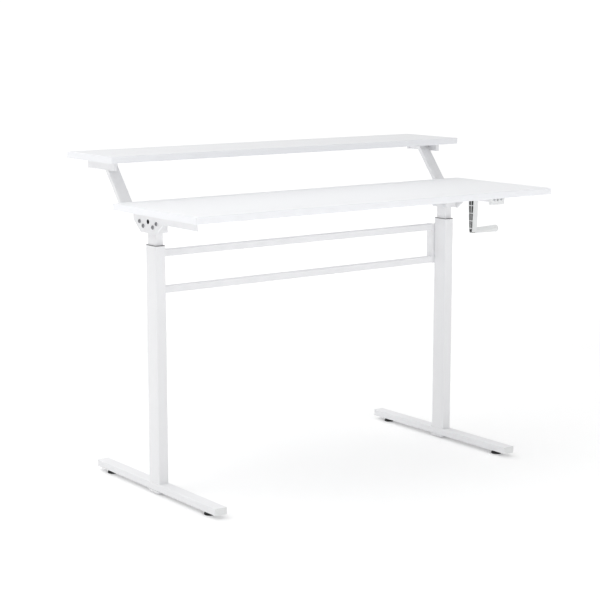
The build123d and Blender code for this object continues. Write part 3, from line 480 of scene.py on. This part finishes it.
# ------------------------------------------------------------------ geometry node trees
class Nodes:
    """A geometry node tree with named inputs, ending in Realize Instances and Set Material."""

    def __init__(self, name, inputs):
        self.tree = bpy.data.node_groups.new(name, "GeometryNodeTree")
        self.tree.interface.new_socket(name="Geometry", in_out="INPUT", socket_type="NodeSocketGeometry")
        self.names = {}
        for label, kind, default in inputs:
            socket = self.tree.interface.new_socket(name=label, in_out="INPUT", socket_type=kind)
            if default is not None:
                socket.default_value = default
            self.names[label] = socket.identifier
        self.names["Material"] = self.tree.interface.new_socket(
            name="Material", in_out="INPUT", socket_type="NodeSocketMaterial").identifier
        self.tree.interface.new_socket(name="Geometry", in_out="OUTPUT", socket_type="NodeSocketGeometry")
        self.start = self.tree.nodes.new("NodeGroupInput")

    def read(self, label):
        return self.start.outputs[label]

    def add(self, kind, values=None, output=0, **settings):
        node = self.tree.nodes.new(kind)
        for key, value in settings.items():
            setattr(node, key, value)
        for key, value in (values or {}).items():
            if isinstance(value, bpy.types.NodeSocket):
                self.tree.links.new(value, node.inputs[key])
            else:
                node.inputs[key].default_value = value
        return None if output is None else node.outputs[output]

    def math(self, operation, first, second):
        return self.add("ShaderNodeMath", {0: first, 1: second}, operation=operation)

    def with_input(self, added):
        """Joins added geometry to the tree's own input."""
        join = self.tree.nodes.new("GeometryNodeJoinGeometry")
        self.tree.links.new(added, join.inputs[0])
        self.tree.links.new(self.read("Geometry"), join.inputs[0])
        return join.outputs[0]

    def end(self, geometry):
        real = self.add("GeometryNodeRealizeInstances", {"Geometry": geometry})
        painted = self.add("GeometryNodeSetMaterial", {"Geometry": real, "Material": self.read("Material")})
        self.add("NodeGroupOutput", {0: painted}, None)
        return self

    def mesh(self, points, finish, **values):
        """Runs the tree on loose points or a mesh, and returns the result as a plain mesh."""
        source = bpy.data.meshes.new("source")
        if isinstance(points, bmesh.types.BMesh):
            points.to_mesh(source)
            points.free()
        else:
            source.from_pydata([place for place, _ in points], [], [])
            aim = source.attributes.new("aim", "FLOAT_VECTOR", "POINT")
            for i, (_, direction) in enumerate(points):
                aim.data[i].vector = direction
        holder = bpy.data.objects.new("holder", source)
        bpy.context.scene.collection.objects.link(holder)
        modifier = holder.modifiers.new("nodes", "NODES")
        modifier.node_group = self.tree
        for label, value in {**values, "Material": finish}.items():
            modifier[self.names[label.replace("_", " ")]] = value
        graph = bpy.context.evaluated_depsgraph_get()
        graph.update()
        result = bpy.data.meshes.new_from_object(holder.evaluated_get(graph), depsgraph=graph)
        holder.modifiers.clear()
        bpy.data.objects.remove(holder)
        return result


def scatter_tree():
    """Sets one part on every point, its Z axis along the point's aim."""
    t = Nodes("set_on_points", [("Part", "NodeSocketObject", None), ("Size", "NodeSocketFloat", 1.0)])
    aim = t.add("GeometryNodeInputNamedAttribute", {"Name": "aim"}, "Attribute", data_type="FLOAT_VECTOR")
    turn = t.add("FunctionNodeAlignRotationToVector", {"Vector": aim}, axis="Z")
    part = t.add("GeometryNodeObjectInfo", {"Object": t.read("Part")}, "Geometry")
    return t.end(t.add("GeometryNodeInstanceOnPoints", {
        "Points": t.read("Geometry"), "Instance": part, "Rotation": turn, "Scale": t.read("Size")}))


def rim_tree():
    """Upright ribs round a rim, added to the part they stand on."""
    t = Nodes("ribs_round_rim", [
        ("Count", "NodeSocketInt", 36), ("Radius", "NodeSocketFloat", 0.02),
        ("Width", "NodeSocketFloat", 0.0015), ("Height", "NodeSocketFloat", 0.004),
        ("Lift", "NodeSocketFloat", 0.003), ("Centre", "NodeSocketVector", None)])
    ring = t.add("GeometryNodeMeshCircle", {"Vertices": t.read("Count"), "Radius": t.read("Radius")})
    rib = t.add("GeometryNodeMeshCylinder", {
        "Vertices": 6, "Radius": t.read("Width"), "Depth": t.read("Height")}, "Mesh")
    ribs = t.add("GeometryNodeInstanceOnPoints", {"Points": ring, "Instance": rib})
    up = t.add("ShaderNodeCombineXYZ", {"Z": t.read("Lift")})
    place = t.add("ShaderNodeVectorMath", {0: up, 1: t.read("Centre")}, operation="ADD")
    moved = t.add("GeometryNodeTransform", {"Geometry": ribs, "Translation": place})
    return t.end(t.with_input(moved))


def weld_tree():
    """A rippled bead along every edge of the input mesh."""
    t = Nodes("weld_bead", [("Radius", "NodeSocketFloat", 0.002), ("Pitch", "NodeSocketFloat", 0.0013)])
    path = t.add("GeometryNodeMeshToCurve", {"Mesh": t.read("Geometry")})
    tangent = t.add("GeometryNodeInputTangent")
    stored = t.add("GeometryNodeStoreNamedAttribute", {
        "Geometry": path, "Name": "along", "Value": tangent}, data_type="FLOAT_VECTOR", domain="POINT")
    spacing = {"Curve": stored, "Length": t.read("Pitch")}
    stops = t.add("GeometryNodeCurveToPoints", spacing, "Points", mode="LENGTH")
    along = t.add("GeometryNodeInputNamedAttribute", {"Name": "along"}, "Attribute", data_type="FLOAT_VECTOR")
    turn = t.add("FunctionNodeAlignRotationToVector", {"Vector": along}, axis="Z")
    drop = t.add("GeometryNodeMeshUVSphere", {"Segments": 10, "Rings": 6, "Radius": t.read("Radius")}, "Mesh")
    flat = t.add("GeometryNodeTransform", {"Geometry": drop, "Scale": (1.0, 1.0, 0.75)})
    return t.end(t.add("GeometryNodeInstanceOnPoints", {"Points": stops, "Instance": flat, "Rotation": turn}))


def thread_tree():
    """A trapezoid thread round the Z axis through Centre, added to the bar."""
    t = Nodes("screw_thread", [
        ("Turns", "NodeSocketFloat", 10.0), ("Starts", "NodeSocketInt", 2),
        ("Radius", "NodeSocketFloat", 0.005), ("Length", "NodeSocketFloat", 0.1),
        ("Ridge", "NodeSocketFloat", 0.001), ("Centre", "NodeSocketVector", None)])
    helix = t.add("GeometryNodeCurveSpiral", {
        "Resolution": 20, "Rotations": t.read("Turns"), "Start Radius": t.read("Radius"),
        "End Radius": t.read("Radius"), "Height": t.read("Length"), "Reverse": True})
    section = t.add("GeometryNodeCurvePrimitiveQuadrilateral", {
        "Height": t.read("Ridge"), "Bottom Width": t.math("MULTIPLY", t.read("Ridge"), 1.9),
        "Top Width": t.math("MULTIPLY", t.read("Ridge"), 1.2), "Offset": 0.0}, mode="TRAPEZOID")
    upright = t.add("GeometryNodeTransform", {"Geometry": section, "Rotation": (0.0, 0.0, math.pi / 2)})
    ridge = t.add("GeometryNodeCurveToMesh", {"Curve": helix, "Profile Curve": upright, "Fill Caps": True})
    starts = t.add("GeometryNodeMeshLine", {"Count": t.read("Starts"), "Offset": (0.0, 0.0, 0.0)})
    share = t.math("DIVIDE", t.add("GeometryNodeInputIndex"), t.read("Starts"))
    spin = t.add("ShaderNodeCombineXYZ", {"Z": t.math("MULTIPLY", share, 2 * math.pi)})
    threads = t.add("GeometryNodeInstanceOnPoints", {"Points": starts, "Instance": ridge, "Rotation": spin})
    moved = t.add("GeometryNodeTransform", {"Geometry": threads, "Translation": t.read("Centre")})
    return t.end(t.with_input(moved))


# ------------------------------------------------------------------ screws
def hexagon(across):
    """Radius of a hexagon, by its width across flats, at an angle."""
    def reach(angle):
        return across / 2 / math.cos(angle % (math.pi / 3) - math.pi / 6)
    return reach


def cross(arm, half_width):
    """Radius of a cross recess at an angle."""
    def reach(angle):
        c, s = abs(math.cos(angle)) + 1e-9, abs(math.sin(angle)) + 1e-9
        return max(min(arm / c, half_width / s), min(arm / s, half_width / c))
    return reach


def threaded(radius, cut, pitch, z):
    """Radius of a screw thread at height z and an angle; cut is its depth as a share of the radius."""
    def reach(angle):
        phase = (z / pitch - angle / (2 * math.pi)) % 1.0
        return radius * (1.0 - cut * abs(2 * phase - 1))
    return reach


def dome(radius, height, steps=6):
    """Profile of a button or pan head, from its bearing face at z = 0 up."""
    out = [(0.0, radius * 0.93), (height * 0.12, radius)]
    for i in range(steps + 1):
        bend = math.pi / 2 * i / steps
        out.append((height * (0.3 + 0.7 * math.sin(bend)), radius * (0.55 + 0.45 * math.cos(bend))))
    return out


def screw_part(head_radius, head_height, recess, recess_radius, shank, shank_length, pitch):
    """A screw whose head bears at z = 0 and whose shank points down, its thread cut as rings of a helix."""
    steps, thread_share, thread_cut = 48, 0.7, 0.16
    profile = [(-shank_length, shank * 0.45), (-shank_length + shank * 0.5, shank)]
    rings = max(2, int(shank_length * thread_share / pitch) * 4)
    for i in range(rings):
        z = -shank_length + shank * 0.5 + shank_length * thread_share * i / rings
        profile.append((z, threaded(shank, thread_cut, pitch, z)))
    profile.append((-0.1 * MM, shank))
    profile += dome(head_radius, head_height)
    profile += [(head_height, lambda angle: recess(angle) * 1.06), (head_height - 0.2 * MM, recess),
                (head_height - head_height * 0.6, recess),
                (head_height - head_height * 0.75, recess_radius * 0.2)]
    bm = turned(profile, steps)
    smooth_by_angle(bm)
    mesh = bpy.data.meshes.new("screw")
    bm.to_mesh(mesh)
    bm.free()
    part = bpy.data.objects.new("screw", mesh)
    bpy.context.scene.collection.objects.link(part)
    return part


def islands(node):
    """Lowest and highest corners of each loose part of a frame node."""
    bm = bmesh.new()
    bm.from_mesh(NODES[node].data)
    bmesh.ops.remove_doubles(bm, verts=bm.verts, dist=1e-6)
    seen, found = set(), []
    for start in bm.verts:
        if start in seen:
            continue
        group, stack = [], [start]
        seen.add(start)
        while stack:
            vert = stack.pop()
            group.append(vert.co.copy())
            for edge in vert.link_edges:
                other = edge.other_vert(vert)
                if other not in seen:
                    seen.add(other)
                    stack.append(other)
        low = Vector([min(p[i] for p in group) for i in range(3)])
        high = Vector([max(p[i] for p in group) for i in range(3)])
        found.append((low, high))
    bm.free()
    return found


class DressOperator(bpy.types.Operator):
    """Base of the desk's operators."""
    bl_options = {"REGISTER", "UNDO"}


class DESK_OT_boards(DressOperator):
    """Make both boards: melamine faces and a plastic band with a fine joint round them"""
    bl_idname = "desk.boards"
    bl_label = "Boards"

    def execute(self, context):
        sizes = context.scene.desk_boards
        for node in ("desktop", "shelf"):
            low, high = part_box(node)
            centre = (low + high) / 2
            half_x, half_y = (high.x - low.x) / 2, (high.y - low.y) / 2
            band, g, r = sizes.band, sizes.groove, sizes.edge_radius

            def ring(inset, z):
                corner = sizes.corner_radius - inset
                return rounded_rectangle(centre, half_x - inset, half_y - inset, corner, z)

            panel = bmesh.new()
            skin(panel, [ring(band + g, low.z), ring(band, low.z + g), ring(band, high.z - g),
                         ring(band + g, high.z)])
            bmesh.ops.recalc_face_normals(panel, faces=panel.faces)
            finish = material("face" if node == "desktop" else "shelf face")
            new_piece(f"{node}_panel", panel, "lift", finish, [node])

            arcs = [(r * (1 - math.sin(a)), r * (1 - math.cos(a)))
                    for a in (math.pi / 2 * i / 5 for i in range(6))]
            section = [(band, low.z + g), (band - g, low.z)]
            section += [(inset, low.z + drop) for inset, drop in arcs]
            section += [(inset, high.z - drop) for inset, drop in reversed(arcs)]
            section += [(band - g, high.z), (band, high.z - g)]
            strip = bmesh.new()
            skin(strip, [ring(*point) for point in section], close=True)
            bmesh.ops.recalc_face_normals(strip, faces=strip.faces)
            smooth_by_angle(strip)
            finish = material("band" if node == "desktop" else "shelf band")
            new_piece(f"{node}_edge_band", strip, "lift", finish)
        return {"FINISHED"}


class DESK_OT_fasteners(DressOperator):
    """Set every screw and bolt, with its recess and thread, where the frame has one"""
    bl_idname = "desk.fasteners"
    bl_label = "Screws and bolts"

    def execute(self, context):
        tree = scatter_tree()
        kinds = {
            "bracket_bolts": ("button", "lift"), "crossbar_bolts": ("hex", "base"),
            "foot_bolts": ("foot", "base"), "desktop_screws": ("pan", "lift"),
            "shelf_screws": ("pan", "lift"), "case_screws": ("small", "lift"),
            "park_screws": ("small_long", "lift"),
        }
        # head radius, head height, recess, recess radius, shank radius, thread pitch, in millimetres
        shapes = {
            "button": (5.5, 3.0, hexagon(4 * MM), 2.0, 3.0, 1.0),
            "hex": (5.0, 4.0, hexagon(5 * MM), 2.5, 3.0, 1.0),
            "foot": (7.0, 3.5, hexagon(5 * MM), 2.5, 4.0, 1.25),
            "pan": (4.5, 2.5, cross(2.2 * MM, 0.6 * MM), 2.0, 2.25, 1.8),
            "small": (4.0, 2.5, cross(2.0 * MM, 0.5 * MM), 1.8, 2.0, 0.8),
            "small_long": (4.0, 2.0, cross(2.0 * MM, 0.5 * MM), 1.8, 2.0, 0.8),
        }
        for node, (kind, body) in kinds.items():
            head_r, head_h, recess, recess_r, shank_r, pitch = shapes[kind]
            by_length = {}
            for low, high in islands(node):
                size = high - low
                along = max(range(3), key=lambda i: size[i])
                total = size[along]
                # the head is at the end that faces away from the part: sideways out, backwards or down
                place = (low + high) / 2
                direction = Vector((0, 0, 0))
                direction[along] = self.head_side(node, along, place)
                place[along] = (high if direction[along] > 0 else low)[along] - direction[along] * head_h * MM
                by_length.setdefault(round(total - head_h * MM, 5), []).append((place, direction))
            result = bmesh.new()
            for shank, points in by_length.items():
                part = screw_part(head_r * MM, head_h * MM, recess, recess_r * MM, shank_r * MM, shank,
                                  pitch * MM)
                mesh = tree.mesh(points, material("zinc"), Part=part)
                result.from_mesh(mesh)
                bpy.data.objects.remove(part)
            # bracket bolts get the darker zinc as painted shade, case screws the lighter zinc as painted
            # light
            plating = {"bracket_bolts": "zinc painted shade", "case_screws": "zinc painted light"}.get(node, "zinc")
            finish = material(plating)
            new_piece(f"{node}_fitted", result, body, finish, [node])
        return {"FINISHED"}

    @staticmethod
    def head_side(node, along, place):
        """Which way a screw's head faces along its axis."""
        if along == 2:
            return -1
        if along == 1:
            return -1 if node == "park_screws" else 1
        outwards = 1 if place.x > LEG_MIDDLE else -1
        return outwards if node in ("bracket_bolts", "crossbar_bolts") else -outwards


class DESK_OT_glides(DressOperator):
    """Make the four levelling glides: domed pad with a ribbed rim, hexagon and threaded stud"""
    bl_idname = "desk.glides"
    bl_label = "Glides"

    def execute(self, context):
        sizes = context.scene.desk_plastic
        tree = rim_tree()
        for node in ("glide_front_left", "glide_front_right", "glide_rear_left", "glide_rear_right"):
            low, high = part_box(node)
            centre = (low + high) / 2
            radius = (high.x - low.x) / 2
            stud, pad, neck = 4.0 * MM, 7.5 * MM, 9.5 * MM
            side, hollow = radius - 0.6 * MM, 0.4 * MM
            profile = [(0.0, radius * 0.55), (hollow, radius * 0.57), (hollow, radius * 0.9),
                       (0.0, radius * 0.92), (0.0, radius - 1.2 * MM), (0.6 * MM, side), (3.2 * MM, side)]
            for i in range(1, 7):
                bend = math.pi / 2 * i / 6
                rise = (3.2 + 4.3 * math.sin(bend)) * MM
                profile.append((rise, side - 4.5 * MM * (1 - math.cos(bend))))
            profile += [(pad, 9.0 * MM), (pad, hexagon(13 * MM)), (neck - 0.3 * MM, hexagon(13 * MM)),
                        (neck, hexagon(12.2 * MM)), (neck, stud)]
            rings = 40
            for i in range(rings):
                z = neck + (high.z - neck) * 0.96 * (i + 1) / rings
                profile.append((z, threaded(stud, 0.1, 1.25 * MM, z)))
            profile += [(high.z, stud * 0.8)]
            pad_mesh = turned(profile, 72)
            smooth_by_angle(pad_mesh, 40)
            bmesh.ops.translate(pad_mesh, verts=pad_mesh.verts, vec=(centre.x, centre.y, 0))
            mesh = tree.mesh(pad_mesh, material("nylon"), Count=sizes.ribs, Radius=radius - 0.75 * MM,
                             Width=sizes.rib_width / 2, Height=2.4 * MM, Lift=2.0 * MM,
                             Centre=(centre.x, centre.y, 0.0))
            new_piece(f"{node}_turned", mesh, node, material("nylon"), [node])
        return {"FINISHED"}


class DESK_OT_grip(DressOperator):
    """Make the crank's grip: tapered, fluted, with a collar and a rounded end"""
    bl_idname = "desk.grip"
    bl_label = "Crank grip"

    def execute(self, context):
        sizes = context.scene.desk_plastic
        low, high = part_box("crank_grip")
        centre = (low + high) / 2
        span = high.x - low.x
        r0, r1 = 8.5 * MM, 11.35 * MM  # radius at the arm and at the free end
        end_length = 8.0 * MM

        def fluted(t, depth):
            base = r0 + (r1 - r0) * t

            def reach(angle):
                wave = max(0.0, math.cos(angle * sizes.flutes)) ** 3
                return base - depth * wave
            return reach

        profile = [(0.0, r0 - 1.2 * MM), (0.3 * MM, r0 - 0.4 * MM), (1.2 * MM, r0 + 0.5 * MM),
                   (5.5 * MM, r0 + 0.6 * MM), (6.6 * MM, r0 + 0.2 * MM), (7.4 * MM, r0)]
        rows = 26
        for i in range(rows + 1):
            t = i / rows
            z = 8.5 * MM + t * (span - 19.5 * MM)
            fade = min(1.0, t / 0.12, (1 - t) / 0.12)
            fade = fade * fade * (3 - 2 * fade)
            profile.append((z, fluted(z / span, sizes.flute_depth * fade)))
        for i in range(8):
            bend = math.pi / 2 * (i + 1) / 8
            z = span - end_length + end_length * math.sin(bend)
            profile.append((z, r1 - 4.6 * MM * (1 - math.cos(bend)) ** 1.3))
        profile += [(span, 3.2 * MM), (span - 0.5 * MM, 3.0 * MM), (span - 0.5 * MM, 0.3 * MM)]
        grip = turned(profile, 96)
        smooth_by_angle(grip, 50)
        bmesh.ops.rotate(grip, verts=grip.verts, matrix=Matrix.Rotation(math.pi / 2, 3, "Y"))
        bmesh.ops.translate(grip, verts=grip.verts, vec=(low.x, centre.y, centre.z))
        new_piece("crank_grip_moulded", grip, "crank_grip", material("white"),
                  ["crank_grip"])
        return {"FINISHED"}


class DESK_OT_spindles(DressOperator):
    """Cut the trapezoid thread on both spindles"""
    bl_idname = "desk.spindles"
    bl_label = "Spindles"

    def execute(self, context):
        sizes = context.scene.desk_drive
        tree = thread_tree()
        for node in ("left_spindle", "right_spindle"):
            low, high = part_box(node)
            centre = (low + high) / 2
            radius = (high.x - low.x) / 2
            journal = 30 * MM  # plain length at the top
            top = high.z - journal
            core = radius - sizes.depth
            profile = [(low.z, core - 1.0 * MM), (low.z + 1.0 * MM, core), (top, core),
                       (top + 0.5 * MM, radius), (high.z, radius)]
            bar = turned(profile, 32)
            smooth_by_angle(bar)
            bmesh.ops.translate(bar, verts=bar.verts, vec=(centre.x, centre.y, 0))
            run = top - low.z - 3 * MM
            mesh = tree.mesh(bar, material("oiled"), Turns=run / sizes.pitch, Starts=sizes.starts,
                             Radius=radius - sizes.depth / 2, Length=run, Ridge=sizes.depth,
                             Centre=(centre.x, centre.y, low.z + 2 * MM))
            new_piece(f"{node}_threaded", mesh, node, material("oiled"), [node])
        return {"FINISHED"}


class DESK_OT_welds(DressOperator):
    """Lay the weld beads where the shelf arms meet their plates and brackets"""
    bl_idname = "desk.welds"
    bl_label = "Welds"

    def execute(self, context):
        sizes = context.scene.desk_metal
        tree = weld_tree()
        lines = bmesh.new()
        for side in ("left", "right"):
            low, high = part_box(f"{side}_shelf_arm")
            depth, sunk, stop = 16.6 * MM, 0.5 * MM, 2.5 * MM
            foot_z, head_z = low.z + sunk, high.z - sunk
            for y, z in ((low.y, foot_z), (low.y + depth, foot_z), (high.y - depth, head_z),
                         (high.y, head_z)):
                ends = [lines.verts.new((x, y, z)) for x in (low.x + stop, high.x - stop)]
                lines.edges.new(ends)
        mesh = tree.mesh(lines, material("coat"), Radius=sizes.weld_radius, Pitch=sizes.weld_pitch)
        new_piece("arm_welds", mesh, "lift", material("coat"))
        return {"FINISHED"}


class DESK_OT_finishes(DressOperator):
    """Give every part of the frame that stays in view its finish"""
    bl_idname = "desk.finishes"
    bl_label = "Finishes"

    def execute(self, context):
        by_slot = {"board": "face", "powder_coat": "coat", "zinc_steel": "zinc", "nut_brass": "brass",
                   "white_plastic": "white", "black_nylon": "nylon"}
        # the crank arm takes the moulding with painted shade in its pockets
        special = {"crank_arm": "crank", "crank_shaft": "zinc", "cross_rod": "oiled", "rod_clips": "dark"}
        for side in ("left", "right"):
            special[f"{side}_guide_collar"] = "collar"
            special[f"{side}_gearbox_case"] = "cast"
            special[f"{side}_pinion"] = special[f"{side}_spindle_gear"] = "dark"
        for name, node in NODES.items():
            finish = material(special.get(name) or by_slot[SLOT_OF[name]])
            node.data.materials.clear()
            node.data.materials.append(finish)
        return {"FINISHED"}


# ------------------------------------------------------------------ studio
CAMERA_PLACE = (-2.76515, -3.55885, 1.2360)
CAMERA_DOWN, CAMERA_ASIDE = 0.16863, 0.64124  # radians below level, and to the right of straight back
BAND_HEIGHT = 0.12  # of the dome's bright band, as a share of its radius
BACKDROP = 1.05  # what the camera sees of the dome


def area_light(name, place, target, size, watts):
    """A rectangular soft light that faces its target."""
    data = bpy.data.lights.new(name, "AREA")
    data.shape = "RECTANGLE"
    data.size, data.size_y = size
    data.energy = watts
    light = bpy.data.objects.new(name, data)
    bpy.context.scene.collection.objects.link(light)
    light.location = place
    light.rotation_euler = (Vector(target) - Vector(place)).to_track_quat("-Z", "Y").to_euler()


class DESK_OT_studio(DressOperator):
    """Set up the pale floor, the soft lights and the camera"""
    bl_idname = "desk.studio"
    bl_label = "Studio"

    def execute(self, context):
        sizes = context.scene.desk_studio
        scene = context.scene
        self.floor(sizes)
        self.dome(sizes)
        area_light("left_light", (-4.0, -0.3, 1.7), (0.0, 0.0, 0.6), (3.0, 2.6), sizes.left)
        area_light("upper_left_light", (-2.6, 0.6, 3.4), (0.0, 0.0, 0.4), (2.6, 2.6), sizes.upper_left)
        area_light("front_light", (0.6, -4.6, 1.8), (0.0, 0.0, 0.5), (3.0, 2.4), sizes.front)
        area_light("front_left_light", (-3.0, -4.6, 2.4), (0.0, 0.0, 0.5), (3.0, 2.4), sizes.front_left)
        area_light("rear_light", (-0.8, 4.6, 3.4), (0.0, 0.0, 0.5), (3.0, 2.4), sizes.rear)
        data = bpy.data.cameras.new("camera")
        data.sensor_width = 36.0
        data.lens = sizes.lens
        camera = bpy.data.objects.new("camera", data)
        scene.collection.objects.link(camera)
        camera.location = CAMERA_PLACE
        camera.rotation_euler = (math.pi / 2 - CAMERA_DOWN, 0.0, -CAMERA_ASIDE)
        scene.camera = camera
        scene.view_settings.view_transform = "Standard"
        scene.view_settings.look = "None"
        return {"FINISHED"}

    @staticmethod
    def floor(sizes):
        """A pale floor that gets a little brighter with distance."""
        bm = bmesh.new()
        bmesh.ops.create_grid(bm, x_segments=1, y_segments=1, size=40.0)
        mesh = bpy.data.meshes.new("floor")
        bm.to_mesh(mesh)
        bm.free()
        f = Finish("floor")
        grain = f.noise(0.6, 2.0)
        tone = f.mix(grain, (sizes.floor * 0.995,) * 3, (sizes.floor,) * 3)
        away = f.add("ShaderNodeVectorMath", {"operation": "LENGTH"}, {0: f.place}, "Value")
        far = f.ramp(away * 0.2, (0.4, sizes.floor_glow / sizes.far_glow), (0.8, 1.0))
        mesh.materials.append(f.done(Base_Color=tone, Roughness=0.85, Specular_IOR_Level=0.1,
                                     Emission_Color=far, Emission_Strength=sizes.far_glow))
        floor = bpy.data.objects.new("floor", mesh)
        bpy.context.scene.collection.objects.link(floor)

    @staticmethod
    def dome(sizes):
        """Soft light from all round; the camera sees it as an even white backdrop."""
        f = Finish("studio", "worlds", "Generated")
        up = f.add("ShaderNodeSeparateXYZ", None, {0: f.place}, "Z")
        back = f.add("ShaderNodeSeparateXYZ", None, {0: f.place}, "Y")
        overhead = up.math("MAXIMUM", up, 0.0) ** 2.0
        behind = back.math("MAXIMUM", back, 0.0) ** 2.0
        band = up.math("MAXIMUM", 1.0 - up.math("ABSOLUTE", up) * (1 / BAND_HEIGHT), 0.0)
        light = overhead * sizes.overhead + behind * sizes.behind + band * sizes.horizon
        seen = f.add("ShaderNodeLightPath", output="Is Camera Ray")
        strength = light + seen * (BACKDROP - light)
        surface = f.add("ShaderNodeBackground", None, {"Color": (1.0, 1.0, 1.0, 1.0), "Strength": strength},
                        "Background")
        f.add("ShaderNodeOutputWorld", None, {"Surface": surface}, None)
        bpy.context.scene.world = f.material


class DESK_PT_panel(bpy.types.Panel):
    """Sidebar list of the desk's operators and sizes"""
    bl_label = "Crank Desk"
    bl_idname = "DESK_PT_panel"
    bl_space_type = "VIEW_3D"
    bl_region_type = "UI"
    bl_category = "Crank Desk"

    def draw(self, context):
        layout = self.layout
        for operator in OPERATORS:
            layout.operator(operator.bl_idname)
        for name in GROUPS:
            box = layout.box()
            group = getattr(context.scene, name)
            for key in group.bl_rna.properties.keys():
                if key not in {"rna_type", "name"}:
                    box.prop(group, key)


GROUPS = {"desk_boards": BoardSizes, "desk_metal": MetalSizes, "desk_plastic": PlasticSizes,
          "desk_drive": DriveSizes, "desk_studio": StudioSizes}
OPERATORS = (DESK_OT_finishes, DESK_OT_boards, DESK_OT_fasteners, DESK_OT_glides, DESK_OT_grip,
             DESK_OT_spindles, DESK_OT_welds, DESK_OT_studio)


def register():
    for name, group in GROUPS.items():
        bpy.utils.register_class(group)
        setattr(bpy.types.Scene, name, PointerProperty(type=group))
    for operator in OPERATORS:
        bpy.utils.register_class(operator)
    bpy.utils.register_class(DESK_PT_panel)


def unregister():
    bpy.utils.unregister_class(DESK_PT_panel)
    for operator in reversed(OPERATORS):
        bpy.utils.unregister_class(operator)
    for name, group in GROUPS.items():
        delattr(bpy.types.Scene, name)
        bpy.utils.unregister_class(group)


def main():
    register()
    for operator in OPERATORS:
        group, name = operator.bl_idname.split(".")
        getattr(getattr(bpy.ops, group), name)()


if __name__ == "__main__":
    main()
